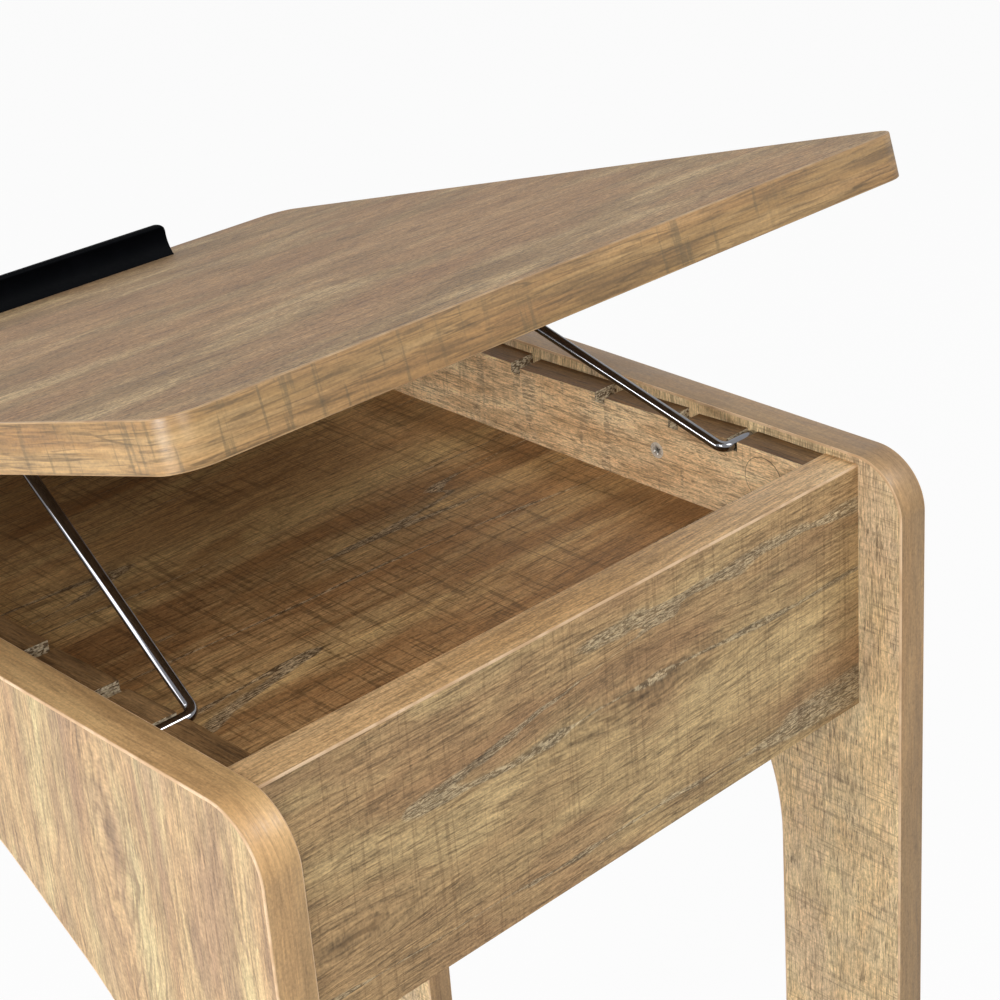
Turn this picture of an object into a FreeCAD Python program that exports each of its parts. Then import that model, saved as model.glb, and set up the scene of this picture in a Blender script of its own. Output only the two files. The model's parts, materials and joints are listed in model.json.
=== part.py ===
import FreeCAD, Part
import Sketcher
import math
import os
from FreeCAD import Placement, Rotation, Vector

# Lift top end table. Millimetres. +X runs across the table, +Y from the raised edge of the
# lid to its hinged edge, +Z up. The origin is on the floor, under the middle of the frame.
# The lid is built closed and then turned about the hinge pins to its resting angle.

doc = FreeCAD.newDocument("LiftTopEndTable")
sheet = doc.addObject("Spreadsheet::Sheet", "Dims")

DIMENSIONS = [
    # frame
    ("frameWidth", 323.0, "outside of one side panel to outside of the other"),
    ("frameDepth", 385.0, "depth of the side panels"),
    ("frameTop", 581.2, "top of the side panels above the floor"),
    ("sideThick", 15.0, "side panel board"),
    ("cornerRound", 23.0, "rounded top corners of the side panels"),
    ("legWidth", 64.3, "straight part of each leg"),
    ("archSpring", 387.7, "height where the leg's inner edge starts to curve"),
    ("archSideRadius", 108.0, "curve at the foot of the arch"),
    ("archSlope", 32.8, "slope between the two curves, degrees"),
    ("archTopRadius", 78.0, "curve at the crown of the arch"),
    ("bandThick", 1.0, "edge banding"),
    ("glideThick", 3.0, "foot glide under each leg"),
    ("glideRadius", 6.5, "foot glide"),
    # aprons and compartment
    ("apronThick", 16.5, "apron board"),
    ("apronHeight", 107.5, "apron board with its top band"),
    ("apronDrop", 3.6, "apron top below the side panel top"),
    ("rearInset", 21.4, "outer face of the rear apron behind the leg edges"),
    ("frontInset", 3.4, "outer face of the front apron behind the leg edges"),
    ("trayDrop", 39.0, "compartment floor below the side panel top"),
    ("trayThick", 12.0, "compartment floor board"),
    # notched rails
    ("railThick", 13.0, "notched rail board"),
    ("railDrop", 4.2, "rail top below the side panel top"),
    ("toothFall", 1.2, "fall of each tooth top towards the next notch"),
    ("notchWidth", 5.5, "notch, along the rail"),
    ("notchDrop", 8.4, "notch bottom below the side panel top"),
    ("notchOne", 75.2, "first notch from the leg edges"),
    ("notchTwo", 107.4, "second notch from the leg edges"),
    ("notchThree", 149.2, "third notch from the leg edges"),
    ("notchFour", 200.2, "fourth notch from the leg edges"),
    # lid
    ("lidWidth", 327.0, "lid across the table"),
    ("lidDepth", 399.7, "lid from raised edge to hinged edge"),
    ("lidThick", 16.8, "lid board"),
    ("lidCorner", 13.0, "rounded corners of the lid"),
    ("lidGap", 2.0, "lid above the side panels when closed"),
    ("lidBack", 7.0, "lid beyond the hinge pins"),
    ("openAngle", 16.37, "resting angle of the lid, degrees"),
    # hinges
    ("pinInset", 0.6, "hinge pin inside the leg edges"),
    ("pinRadius", 1.5, "hinge pin"),
    ("boreRadius", 1.55, "bore of the hinge knuckles"),
    ("knuckleRadius", 2.8, "outside of the hinge knuckles"),
    ("leafThick", 1.2, "hinge leaf"),
    ("leafDepth", 18.0, "hinge leaf from the pin to its edge"),
    ("hingeLength", 50.0, "hinge along the pin"),
    ("hingeOffset", 90.0, "middle of each hinge from the middle of the table"),
    # support wire
    ("wireRadius", 2.25, "support wire"),
    ("wirePlay", 0.05, "foot above the bottom of its notch"),
    ("wirePivot", 178.0, "crossbar from the hinge pins, along the lid"),
    ("wireDrop", 2.6, "crossbar below the lid"),
    ("barHalf", 105.3, "half of the crossbar, to its corner"),
    ("footHalf", 128.5, "middle of the table to the bend of a foot"),
    ("footLength", 16.0, "foot, from its bend"),
    ("barBend", 10.0, "bend radius at the crossbar"),
    ("footBend", 4.5, "bend radius at the foot"),
    ("clipOffset", 62.0, "middle of each clip from the middle of the table"),
    ("clipWidth", 14.0, "clip along the crossbar"),
    ("clipThick", 1.2, "clip strap"),
    ("clipReach", 12.0, "clip from the crossbar to the edge of a tab"),
    ("clipClear", 0.05, "play of the crossbar in its clips"),
    ("clipScrewReach", 8.6, "clip screw from the crossbar"),
    # ledge
    ("ledgeLength", 160.0, "ledge along the lid"),
    ("ledgeStart", 368.6, "ledge from the raised edge of the lid"),
    ("ledgeFlange", 13.5, "ledge, from its uphill face to the edge of its flange"),
    ("ledgeEndRound", 4.5, "rounded upper corners at the ends of the ledge"),
    ("ledgeScrewStep", 58.0, "between the ledge screws"),
    ("ledgeScrewInset", 9.0, "ledge screw from the uphill face"),
    # fittings
    ("sideHole", 10.0, "depth of the fittings' holes in a side panel or apron"),
    ("endHole", 14.5, "depth of the dowel holes in the end of a board"),
    ("apronCamDrop", 85.0, "cam locks of the aprons below the side panel top"),
    ("upperDowelDrop", 26.0, "upper dowels of the aprons below the side panel top"),
    ("lowerDowelDrop", 102.0, "lower dowels of the aprons below the side panel top"),
    ("trayDowelOffset", 90.0, "compartment floor dowels from the middle"),
    ("slimDowelRadius", 3.0, "dowel between the compartment floor and an apron"),
    ("camRadius", 7.5, "cam lock"),
    ("camDepth", 9.5, "cam lock"),
    ("camInset", 20.8, "cam lock from the joint"),
    ("boltRadius", 2.5, "cam bolt"),
    ("boltRootRadius", 3.0, "threaded end of a cam bolt"),
    ("boltPlay", 0.2, "cam bolt in its hole"),
    ("boltTip", 3.5, "cam bolt past the middle of its cam"),
    ("dowelStart", 9.8, "dowel in the board whose face is bored"),
    ("dowelRadius", 4.0, "dowel"),
    ("dowelLength", 24.0, "dowel"),
    ("dowelPlay", 0.05, "dowel in its hole"),
    ("stickerRadius", 9.7, "cam cover sticker"),
    ("stickerThick", 0.2, "cam cover sticker"),
    ("camDrop", 16.6, "cam locks of the rails below the side panel top"),
    ("screwHeadRadius", 3.6, "rail screw head"),
    ("screwHeadDepth", 2.2, "rail screw head"),
    ("screwRadius", 1.7, "rail screw shank"),
    ("recessDepth", 0.9, "cross recess of every screw"),
    ("recessLength", 4.0, "cross recess of every screw"),
    ("recessWidth", 0.7, "cross recess of every screw"),
    ("screwInset", 117.1, "rail screw from the leg edges"),
    ("screwDrop", 20.8, "rail screw below the side panel top"),
    ("smallScrewRadius", 1.5, "hinge and clip screw shank"),
    ("smallScrewDepth", 12.0, "hinge and clip screw in its board"),
    ("hingeHeadRadius", 2.9, "hinge screw head"),
    ("hingeScrewStep", 17.0, "between the screws of a hinge leaf"),
    ("hingeScrewInset", 11.5, "hinge screw from the pin"),
    ("clipHeadRadius", 2.9, "clip screw head"),
    ("screwTipRoom", 0.5, "pilot hole past the tip of a hinge or clip screw"),
    ("ledgeHeadRadius", 3.2, "ledge screw head"),
    ("ledgeScrewRadius", 1.6, "ledge screw shank"),
    ("ledgeScrewGrip", 2.9, "ledge screw in the flange of the ledge"),
    ("panHeadDepth", 1.9, "pan head of a clip or ledge screw"),
    ("panHeadTaper", 0.8, "pan head, from its wide side to its flat one"),
    ("bumperRadius", 4.0, "lid bumper"),
    ("bumperThick", 1.8, "lid bumper"),
    ("bumperInset", 32.0, "lid bumper from the leg edges"),
]

for row, (alias, value, note) in enumerate(DIMENSIONS, start=1):
    sheet.set("A%d" % row, note)
    sheet.set("B%d" % row, str(value))
    sheet.setAlias("B%d" % row, alias)
doc.recompute()


def dim(alias):
    return float(getattr(sheet, alias))


# Expressions that many pieces share.
LEFT_OUT = "-Dims.frameWidth / 2"
LEFT_IN = "-Dims.frameWidth / 2 + Dims.sideThick"
RIGHT_IN = "Dims.frameWidth / 2 - Dims.sideThick"
EDGE = "-Dims.frameDepth / 2"
INNER_WIDTH = "Dims.frameWidth - 2 * Dims.sideThick"
REAR_OUT = EDGE + " + Dims.rearInset"
REAR_IN = REAR_OUT + " + Dims.apronThick"
FRONT_OUT = "Dims.frameDepth / 2 - Dims.frontInset"
FRONT_IN = FRONT_OUT + " - Dims.apronThick"
TRAY_DEPTH = "Dims.frameDepth - Dims.rearInset - Dims.frontInset - 2 * Dims.apronThick"
TRAY_TOP = "Dims.frameTop - Dims.trayDrop"
APRON_TOP = "Dims.frameTop - Dims.apronDrop"
LID_BOTTOM = "Dims.frameTop + Dims.lidGap"
LID_TOP = "Dims.frameTop + Dims.lidGap + Dims.lidThick"
PIN_Y = "Dims.frameDepth / 2 - Dims.pinInset"
PIN_Z = "Dims.frameTop + Dims.lidGap - Dims.knuckleRadius"
LID_FRONT = "Dims.frameDepth / 2 - Dims.pinInset + Dims.lidBack - Dims.lidDepth"
LEDGE_Y = LID_FRONT + " + Dims.ledgeStart"

FACING_Y = Rotation(Vector(1, 0, 0), -90)  # a cylinder's axis turned from +Z to +Y
FACING_BACK_Y = Rotation(Vector(1, 0, 0), 90)
FACING_X = Rotation(Vector(0, 1, 0), 90)
FACING_BACK_X = Rotation(Vector(0, 1, 0), -90)
FACING_DOWN = Rotation(Vector(1, 0, 0), 180)
UPRIGHT = Rotation()

NODES = []


def bind(target, **expressions):
    for name, expression in expressions.items():
        target.setExpression(name, str(expression))
    return target


def place(target, x, y, z, rotation=UPRIGHT):
    """Bound position of a primitive, whose own corner or base centre goes to x, y, z."""
    target.Placement = Placement(Vector(), rotation)
    for axis, expression in zip("xyz", (x, y, z)):
        target.setExpression("Placement.Base." + axis, str(expression))
    return target


def box(x, y, z, length, width, height):
    solid = doc.addObject("Part::Box", "Box")
    bind(solid, Length=length, Width=width, Height=height)
    return place(solid, x, y, z)


def cylinder(x, y, z, radius, height, rotation=UPRIGHT):
    solid = doc.addObject("Part::Cylinder", "Cylinder")
    bind(solid, Radius=radius, Height=height)
    return place(solid, x, y, z, rotation)


def cone(x, y, z, baseRadius, topRadius, height, rotation=UPRIGHT):
    solid = doc.addObject("Part::Cone", "Cone")
    bind(solid, Radius1=baseRadius, Radius2=topRadius, Height=height)
    return place(solid, x, y, z, rotation)


def fuse(pieces):
    joined = doc.addObject("Part::MultiFuse", "Fusion")
    joined.Shapes = pieces
    return joined


def group(pieces):
    """Separate solids that share one node."""
    together = doc.addObject("Part::Compound", "Group")
    together.Links = pieces
    return together


def cut(base, tools):
    result = doc.addObject("Part::Cut", "Cut")
    result.Base = base
    result.Tool = tools[0] if len(tools) == 1 else fuse(tools)
    return result


def node(target, label):
    target.Label = label
    NODES.append(target)
    return target


LID_POSE = (
    "create(<<placement>>; create(<<vector>>; 0; 0; 0);"
    " create(<<rotation>>; create(<<vector>>; 1; 0; 0); -Dims.openAngle);"
    " create(<<vector>>; 0; %s; %s))" % (PIN_Y, PIN_Z)
)


def lidNode(target, label):
    """A node that is drawn with the lid closed and rides on the lid."""
    target.setExpression("Placement", LID_POSE)
    return node(target, label)


def originPlane(body, role):
    return [f for f in body.Origin.OriginFeatures if f.Role == role][0]


def newSketch(body, role, name):
    sketch = body.newObject("Sketcher::SketchObject", name)
    sketch.AttachmentSupport = [(originPlane(body, role), "")]
    sketch.MapMode = "FlatFace"
    return sketch


def named(sketch, constraint, name, expression):
    """Adds a sketch dimension and binds it to the sheet."""
    index = sketch.addConstraint(constraint)
    sketch.renameConstraint(index, name)
    sketch.setExpression("Constraints." + name, expression)


def rectangleSketch(sketch, width, height, left, bottom, values):
    """An upright rectangle; the last argument holds the present numbers for the four."""
    w, h, x, y = values
    corners = [Vector(x, y), Vector(x + w, y), Vector(x + w, y + h), Vector(x, y + h)]
    for start, end in zip(corners, corners[1:] + corners[:1]):
        sketch.addGeometry(Part.LineSegment(start, end))
    for line in range(4):
        sketch.addConstraint(Sketcher.Constraint("Coincident", line, 2, (line + 1) % 4, 1))
    for line, way in enumerate(("Horizontal", "Vertical", "Horizontal", "Vertical")):
        sketch.addConstraint(Sketcher.Constraint(way, line))
    named(sketch, Sketcher.Constraint("DistanceX", 0, 1, 0, 2, w), "across", width)
    named(sketch, Sketcher.Constraint("DistanceY", 1, 1, 1, 2, h), "upward", height)
    named(sketch, Sketcher.Constraint("DistanceX", -1, 1, 0, 1, x), "left", left)
    named(sketch, Sketcher.Constraint("DistanceY", -1, 1, 0, 1, y), "bottom", bottom)


def archSketch(sketch, grow, growExpression):
    """The opening between the legs: two uprights, two side curves, two slopes and a crown."""
    slope = math.radians(dim("archSlope"))
    sideRadius = dim("archSideRadius") + grow
    topRadius = dim("archTopRadius") + grow
    half = dim("frameDepth") / 2 - dim("legWidth") + grow
    spring = dim("archSpring")
    floor = -10.0
    turn = math.pi / 2 - slope
    sideX = half - sideRadius
    bendX = sideX + sideRadius * math.cos(turn)
    bendZ = spring + sideRadius * math.sin(turn)
    crownX = topRadius * math.sin(slope)
    crownZ = bendZ + (bendX - crownX) * math.tan(slope)
    crownCentre = crownZ - topRadius * math.cos(slope)
    up = Vector(0, 0, 1)
    sketch.addGeometry(Part.LineSegment(Vector(-half, floor), Vector(half, floor)))
    sketch.addGeometry(Part.LineSegment(Vector(half, floor), Vector(half, spring)))
    sketch.addGeometry(Part.ArcOfCircle(Part.Circle(Vector(sideX, spring), up, sideRadius), 0, turn))
    sketch.addGeometry(Part.LineSegment(Vector(bendX, bendZ), Vector(crownX, crownZ)))
    crown = Part.Circle(Vector(0, crownCentre), up, topRadius)
    sketch.addGeometry(Part.ArcOfCircle(crown, turn, math.pi - turn))
    sketch.addGeometry(Part.LineSegment(Vector(-crownX, crownZ), Vector(-bendX, bendZ)))
    mirrored = Part.Circle(Vector(-sideX, spring), up, sideRadius)
    sketch.addGeometry(Part.ArcOfCircle(mirrored, math.pi - turn, math.pi))
    sketch.addGeometry(Part.LineSegment(Vector(-half, spring), Vector(-half, floor)))
    joints = [(0, 2, 1, 1), (7, 2, 0, 1)]
    for first, firstEnd, second, secondEnd in joints:
        sketch.addConstraint(Sketcher.Constraint("Coincident", first, firstEnd, second, secondEnd))
    tangents = [(1, 2, 2, 1), (2, 2, 3, 1), (3, 2, 4, 1), (4, 2, 5, 1), (5, 2, 6, 1), (6, 2, 7, 1)]
    for first, firstEnd, second, secondEnd in tangents:
        sketch.addConstraint(Sketcher.Constraint("Tangent", first, firstEnd, second, secondEnd))
    sketch.addConstraint(Sketcher.Constraint("Horizontal", 0))
    sketch.addConstraint(Sketcher.Constraint("Vertical", 1))
    sketch.addConstraint(Sketcher.Constraint("Vertical", 7))
    halfSize = "Dims.frameDepth / 2 - Dims.legWidth + " + growExpression
    named(sketch, Sketcher.Constraint("DistanceX", -1, 1, 0, 2, half), "rightLeg", halfSize)
    named(sketch, Sketcher.Constraint("DistanceX", 0, 1, -1, 1, half), "leftLeg", halfSize)
    named(sketch, Sketcher.Constraint("DistanceY", 0, 1, -1, 1, -floor), "below", "10")
    side = "Dims.archSideRadius + " + growExpression
    named(sketch, Sketcher.Constraint("Radius", 2, sideRadius), "rightCurve", side)
    named(sketch, Sketcher.Constraint("Radius", 6, sideRadius), "leftCurve", side)
    top = "Dims.archTopRadius + " + growExpression
    named(sketch, Sketcher.Constraint("Radius", 4, topRadius), "crown", top)
    named(sketch, Sketcher.Constraint("DistanceY", -1, 1, 2, 3, spring), "rightSpring", "Dims.archSpring")
    named(sketch, Sketcher.Constraint("DistanceY", -1, 1, 6, 3, spring), "leftSpring", "Dims.archSpring")
    sketch.addConstraint(Sketcher.Constraint("PointOnObject", 4, 3, -2))


def uprightEdges(shape, direction, limit):
    """Names of the straight edges along one direction whose middle passes the limit test."""
    names = []
    for index, edge in enumerate(shape.Edges, start=1):
        if not isinstance(edge.Curve, Part.Line):
            continue
        along = edge.tangentAt(edge.FirstParameter)
        if abs(along.dot(direction)) > 0.999 and limit(edge.CenterOfMass):
            names.append("Edge%d" % index)
    return names


def sideBoard(name, inset):
    """A side panel outline: inset 0 with its bands, inset 1 for the bare board."""
    shrink = "%s * Dims.bandThick" % inset
    band = dim("bandThick") * inset
    body = doc.addObject("PartDesign::Body", name)
    outline = newSketch(body, "YZ_Plane", name + "Outline")
    values = (
        dim("frameDepth") - 2 * band,
        dim("frameTop") - dim("glideThick") - band,
        -dim("frameDepth") / 2 + band,
        dim("glideThick"),
    )
    rectangleSketch(
        outline,
        "Dims.frameDepth - 2 * " + shrink,
        "Dims.frameTop - Dims.glideThick - " + shrink,
        "Dims.frameDepth / -2 + " + shrink,
        "Dims.glideThick",
        values,
    )
    pad = body.newObject("PartDesign::Pad", name + "Pad")
    pad.Profile = outline
    bind(pad, Length="Dims.sideThick")
    doc.recompute()
    top = dim("frameTop") - band
    corners = uprightEdges(pad.Shape, Vector(1, 0, 0), lambda at: at.z > top - 0.01)
    rounding = body.newObject("PartDesign::Fillet", name + "Rounding")
    rounding.Base = (pad, corners)
    bind(rounding, Radius="Dims.cornerRound - " + shrink)
    doc.recompute()
    opening = newSketch(body, "YZ_Plane", name + "Opening")
    archSketch(opening, band, shrink)
    arch = body.newObject("PartDesign::Pocket", name + "Arch")
    arch.Profile = opening
    arch.Type = "ThroughAll"
    arch.Midplane = True
    doc.recompute()
    return body


def ends(inset="0"):
    """Y places that mirror each other about the middle of the table's depth."""
    return [EDGE + " + " + inset, "Dims.frameDepth / 2 - (%s)" % inset]


# --- side panels -------------------------------------------------------------------------

CAM_LEVEL = "Dims.frameTop - Dims.apronCamDrop"
DOWEL_LEVELS = ["Dims.frameTop - Dims.upperDowelDrop", "Dims.frameTop - Dims.lowerDowelDrop"]
DOWEL_BORE = "Dims.dowelRadius + Dims.dowelPlay"
SLIM_BORE = "Dims.slimDowelRadius + Dims.dowelPlay"
APRON_MIDDLES = [REAR_OUT + " + Dims.apronThick / 2", FRONT_IN + " + Dims.apronThick / 2"]
TRAY_LEVEL = TRAY_TOP + " - Dims.trayThick / 2"
TRAY_DOWELS = ["-Dims.trayDowelOffset", "Dims.trayDowelOffset"]
SCREW_PLACES = ends("Dims.screwInset")
SCREW_LEVEL = "Dims.frameTop - Dims.screwDrop"
SIDES = [("left", -1), ("right", 1)]


def innerFace(side):
    return LEFT_IN if side < 0 else RIGHT_IN


def inward(side):
    """Turns a cylinder so that it runs from the side panel towards the table's middle."""
    return FACING_X if side < 0 else FACING_BACK_X


def outward(side):
    return FACING_BACK_X if side < 0 else FACING_X


def sideJoints():
    """Places where the fittings enter a side panel: y, z and the radius of the hole."""
    places = []
    for middle in APRON_MIDDLES:
        places += [(middle, level, DOWEL_BORE) for level in DOWEL_LEVELS]
        places.append((middle, CAM_LEVEL, "Dims.boltRootRadius"))
    places += [(y, TRAY_LEVEL, DOWEL_BORE) for y in TRAY_DOWELS]
    places += [(y, SCREW_LEVEL, "Dims.screwRadius") for y in SCREW_PLACES]
    return places


for sideName, side in SIDES:
    whole = sideBoard(sideName + "Whole", 0)
    board = sideBoard(sideName + "Board", 1)
    start = LEFT_OUT if side < 0 else RIGHT_IN
    for body in (whole, board):
        bind(body, **{"Placement.Base.x": start})
    holes = [
        cylinder(innerFace(side), y, z, radius, "Dims.sideHole", outward(side))
        for y, z, radius in sideJoints()
    ]
    node(cut(board, holes), sideName + "_side_panel")
    bareBoard = sideBoard(sideName + "Core", 1)
    bind(bareBoard, **{"Placement.Base.x": start})
    node(cut(whole, [bareBoard]), sideName + "_side_edge_bands")

glides = []
for sideName, side in SIDES:
    x = "%d * (Dims.frameWidth / 2 - Dims.sideThick / 2)" % side
    for y in ends("Dims.legWidth / 2"):
        glides.append(cylinder(x, y, "0", "Dims.glideRadius", "Dims.glideThick"))
node(group(glides), "foot_glides")

# --- aprons ------------------------------------------------------------------------------

RAIL_MIDDLE = "(Dims.frameWidth / 2 - Dims.sideThick - Dims.railThick / 2)"
RAIL_CAM_LEVEL = "Dims.frameTop - Dims.camDrop"
BOLT_REACH = "Dims.camInset + Dims.boltTip"
APRONS = [("rear", REAR_OUT, REAR_IN, 1), ("front", FRONT_IN, FRONT_IN, -1)]
HINGE_PLACES = ["-Dims.hingeOffset", "Dims.hingeOffset"]
HINGE_SCREWS = ["-Dims.hingeScrewStep", "0", "Dims.hingeScrewStep"]
LEAF_SCREW_Y = PIN_Y + " - Dims.hingeScrewInset"


def leafScrewHoles(z, turn):
    """Pilot holes for the six screws of a pair of hinge leaves."""
    return [
        cylinder(
            hinge + " + " + offset,
            LEAF_SCREW_Y,
            z,
            "Dims.smallScrewRadius",
            "Dims.smallScrewDepth",
            turn,
        )
        for hinge in HINGE_PLACES
        for offset in HINGE_SCREWS
    ]


for apronName, start, innerY, way in APRONS:
    bare = "Dims.apronHeight - Dims.bandThick"
    bottom = APRON_TOP + " - Dims.apronHeight"
    apron = box(LEFT_IN, start, bottom, INNER_WIDTH, "Dims.apronThick", bare)
    middle = start + " + Dims.apronThick / 2"
    camTurn = FACING_BACK_Y if way > 0 else FACING_Y
    holes = []
    for sideName, side in SIDES:
        face = innerFace(side)
        for level in DOWEL_LEVELS:
            holes.append(cylinder(face, middle, level, DOWEL_BORE, "Dims.endHole", inward(side)))
        holes.append(cylinder(face, middle, CAM_LEVEL, "Dims.boltRadius", BOLT_REACH, inward(side)))
        camX = "%d * (Dims.frameWidth / 2 - Dims.sideThick - Dims.camInset)" % side
        holes.append(cylinder(camX, innerY, CAM_LEVEL, "Dims.camRadius", "Dims.camDepth", camTurn))
        boltX = "%d * %s" % (side, RAIL_MIDDLE)
        holes.append(
            cylinder(boltX, innerY, RAIL_CAM_LEVEL, "Dims.boltRootRadius", "Dims.sideHole", camTurn)
        )
    for x in TRAY_DOWELS:
        holes.append(cylinder(x, innerY, TRAY_LEVEL, SLIM_BORE, "Dims.sideHole", camTurn))
    if way < 0:
        holes += leafScrewHoles(APRON_TOP, FACING_DOWN)
    node(cut(apron, holes), apronName + "_apron")
    strip = box(
        LEFT_IN,
        start,
        APRON_TOP + " - Dims.bandThick",
        INNER_WIDTH,
        "Dims.apronThick",
        "Dims.bandThick",
    )
    if way < 0:
        strip = cut(strip, leafScrewHoles(APRON_TOP, FACING_DOWN))
    node(strip, apronName + "_apron_edge_band")

# --- compartment floor -------------------------------------------------------------------

floorBoard = box(
    LEFT_IN, REAR_IN, TRAY_TOP + " - Dims.trayThick", INNER_WIDTH, TRAY_DEPTH, "Dims.trayThick"
)
floorHoles = []
for x in TRAY_DOWELS:
    floorHoles.append(cylinder(x, REAR_IN, TRAY_LEVEL, SLIM_BORE, "Dims.endHole", FACING_Y))
    floorHoles.append(cylinder(x, FRONT_IN, TRAY_LEVEL, SLIM_BORE, "Dims.endHole", FACING_BACK_Y))
for sideName, side in SIDES:
    for y in TRAY_DOWELS:
        start = innerFace(side)
        floorHoles.append(cylinder(start, y, TRAY_LEVEL, DOWEL_BORE, "Dims.endHole", inward(side)))
node(cut(floorBoard, floorHoles), "compartment_floor")

# --- notched rails -----------------------------------------------------------------------

NOTCHES = ["notchOne", "notchTwo", "notchThree", "notchFour"]


def railProfile():
    """Closed outline in Y and Z: teeth that fall from each notch to the one behind it."""
    edge = -dim("frameDepth") / 2
    near = edge + dim("rearInset") + dim("apronThick")
    far = dim("frameDepth") / 2 - dim("frontInset") - dim("apronThick")
    top = dim("frameTop") - dim("railDrop")
    low = top - dim("toothFall")
    bottom = dim("frameTop") - dim("trayDrop")
    deep = dim("frameTop") - dim("notchDrop")
    half = dim("notchWidth") / 2
    points = [(near, bottom), (near, top)]
    level = top
    for alias in NOTCHES:
        middle = edge + dim(alias)
        points += [(middle - half, level), (middle - half, deep), (middle + half, deep)]
        points.append((middle + half, top))
        level = low
    points += [(far, top), (far, bottom)]
    return [Vector(0, y, z) for y, z in points]


def railBlank(start):
    points = railProfile()
    outline = Part.makePolygon(points + points[:1])
    solid = Part.Face(outline).extrude(Vector(dim("railThick"), 0, 0))
    blank = doc.addObject("Part::Feature", "RailBlank")
    blank.Shape = solid
    blank.Placement = Placement(Vector(start, 0, 0), UPRIGHT)
    return blank


CAM_PLACES = [REAR_IN + " + Dims.camInset", FRONT_IN + " - Dims.camInset"]


def railScrewBody(x, y, turn, length):
    """A countersunk screw without its recess: head flush with the face, then the shank."""
    head = cone(
        x, y, SCREW_LEVEL, "Dims.screwHeadRadius", "Dims.screwRadius", "Dims.screwHeadDepth", turn
    )
    shank = cylinder(x, y, SCREW_LEVEL, "Dims.screwRadius", length, turn)
    return [head, shank]


for sideName, side in SIDES:
    inner = dim("frameWidth") / 2 - dim("sideThick")
    blank = railBlank(-inner if side < 0 else inner - dim("railThick"))
    roomFace = "%d * (Dims.frameWidth / 2 - Dims.sideThick - Dims.railThick)" % side
    boltX = "%d * %s" % (side, RAIL_MIDDLE)
    holes = []
    for y in CAM_PLACES:
        holes.append(
            cylinder(roomFace, y, RAIL_CAM_LEVEL, "Dims.camRadius", "Dims.camDepth", outward(side))
        )
    holes.append(cylinder(boltX, REAR_IN, RAIL_CAM_LEVEL, "Dims.boltRadius", "Dims.camInset", FACING_Y))
    holes.append(
        cylinder(boltX, FRONT_IN, RAIL_CAM_LEVEL, "Dims.boltRadius", "Dims.camInset", FACING_BACK_Y)
    )
    for y in SCREW_PLACES:
        holes += railScrewBody(roomFace, y, outward(side), "Dims.railThick")
    node(cut(blank, holes), sideName + "_notched_rail")

# --- joint fittings of the frame ---------------------------------------------------------

cams = []
bolts = []
dowels = []
stickers = []
railScrews = []


def cam(x, y, z, turn, boltTurn, boltX, boltY):
    """A cam lock, bored where its bolt enters."""
    drum = cylinder(x, y, z, "Dims.camRadius", "Dims.camDepth", turn)
    bore = cylinder(boltX, boltY, z, "Dims.boltRadius", BOLT_REACH, boltTurn)
    return cut(drum, [bore])


def bolt(x, y, z, turn, deep):
    """A cam bolt: a plain shank that ends in the cam, and a threaded root behind the joint."""
    shank = cylinder(x, y, z, "Dims.boltRadius - Dims.boltPlay", BOLT_REACH, turn)
    root = cylinder(x, y, z, "Dims.boltRootRadius", "Dims.sideHole", deep)
    return fuse([shank, root])


def dowel(x, y, z, radius, turn):
    return cylinder(x, y, z, radius, "Dims.dowelLength", turn)


CROSS = ("Dims.recessLength", "Dims.recessWidth")

for sideName, side in SIDES:
    roomFace = "%d * (Dims.frameWidth / 2 - Dims.sideThick - Dims.railThick)" % side
    boltX = "%d * %s" % (side, RAIL_MIDDLE)
    dowelX = "%d * (Dims.frameWidth / 2 - Dims.sideThick + Dims.dowelStart)" % side
    railEnds = [(REAR_IN, CAM_PLACES[0], FACING_Y, FACING_BACK_Y)]
    railEnds.append((FRONT_IN, CAM_PLACES[1], FACING_BACK_Y, FACING_Y))
    for joint, camY, along, back in railEnds:
        cams.append(cam(roomFace, camY, RAIL_CAM_LEVEL, outward(side), along, boltX, joint))
        bolts.append(bolt(boltX, joint, RAIL_CAM_LEVEL, along, back))
        cover = cylinder(
            roomFace, camY, RAIL_CAM_LEVEL, "Dims.stickerRadius", "Dims.stickerThick", inward(side)
        )
        stickers.append(cover)
    for apronName, start, innerY, way in APRONS:
        middle = start + " + Dims.apronThick / 2"
        camTurn = FACING_BACK_Y if way > 0 else FACING_Y
        camX = "%d * (Dims.frameWidth / 2 - Dims.sideThick - Dims.camInset)" % side
        face = innerFace(side)
        cams.append(cam(camX, innerY, CAM_LEVEL, camTurn, inward(side), face, middle))
        bolts.append(bolt(face, middle, CAM_LEVEL, inward(side), outward(side)))
        for level in DOWEL_LEVELS:
            dowels.append(dowel(dowelX, middle, level, "Dims.dowelRadius", inward(side)))
    for y in TRAY_DOWELS:
        dowels.append(dowel(dowelX, y, TRAY_LEVEL, "Dims.dowelRadius", inward(side)))
    for y in SCREW_PLACES:
        body = railScrewBody(roomFace, y, outward(side), "Dims.railThick + Dims.sideHole")
        x = roomFace + " - Dims.recessDepth"
        recess = [
            box(
                x,
                "%s - %s / 2" % (y, width),
                "%s - %s / 2" % (SCREW_LEVEL, height),
                "2 * Dims.recessDepth",
                width,
                height,
            )
            for width, height in (CROSS, CROSS[::-1])
        ]
        railScrews.append(cut(fuse(body), recess))
for x in TRAY_DOWELS:
    start = REAR_IN + " - Dims.dowelStart"
    dowels.append(dowel(x, start, TRAY_LEVEL, "Dims.slimDowelRadius", FACING_Y))
    start = FRONT_IN + " + Dims.dowelStart"
    dowels.append(dowel(x, start, TRAY_LEVEL, "Dims.slimDowelRadius", FACING_BACK_Y))

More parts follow.
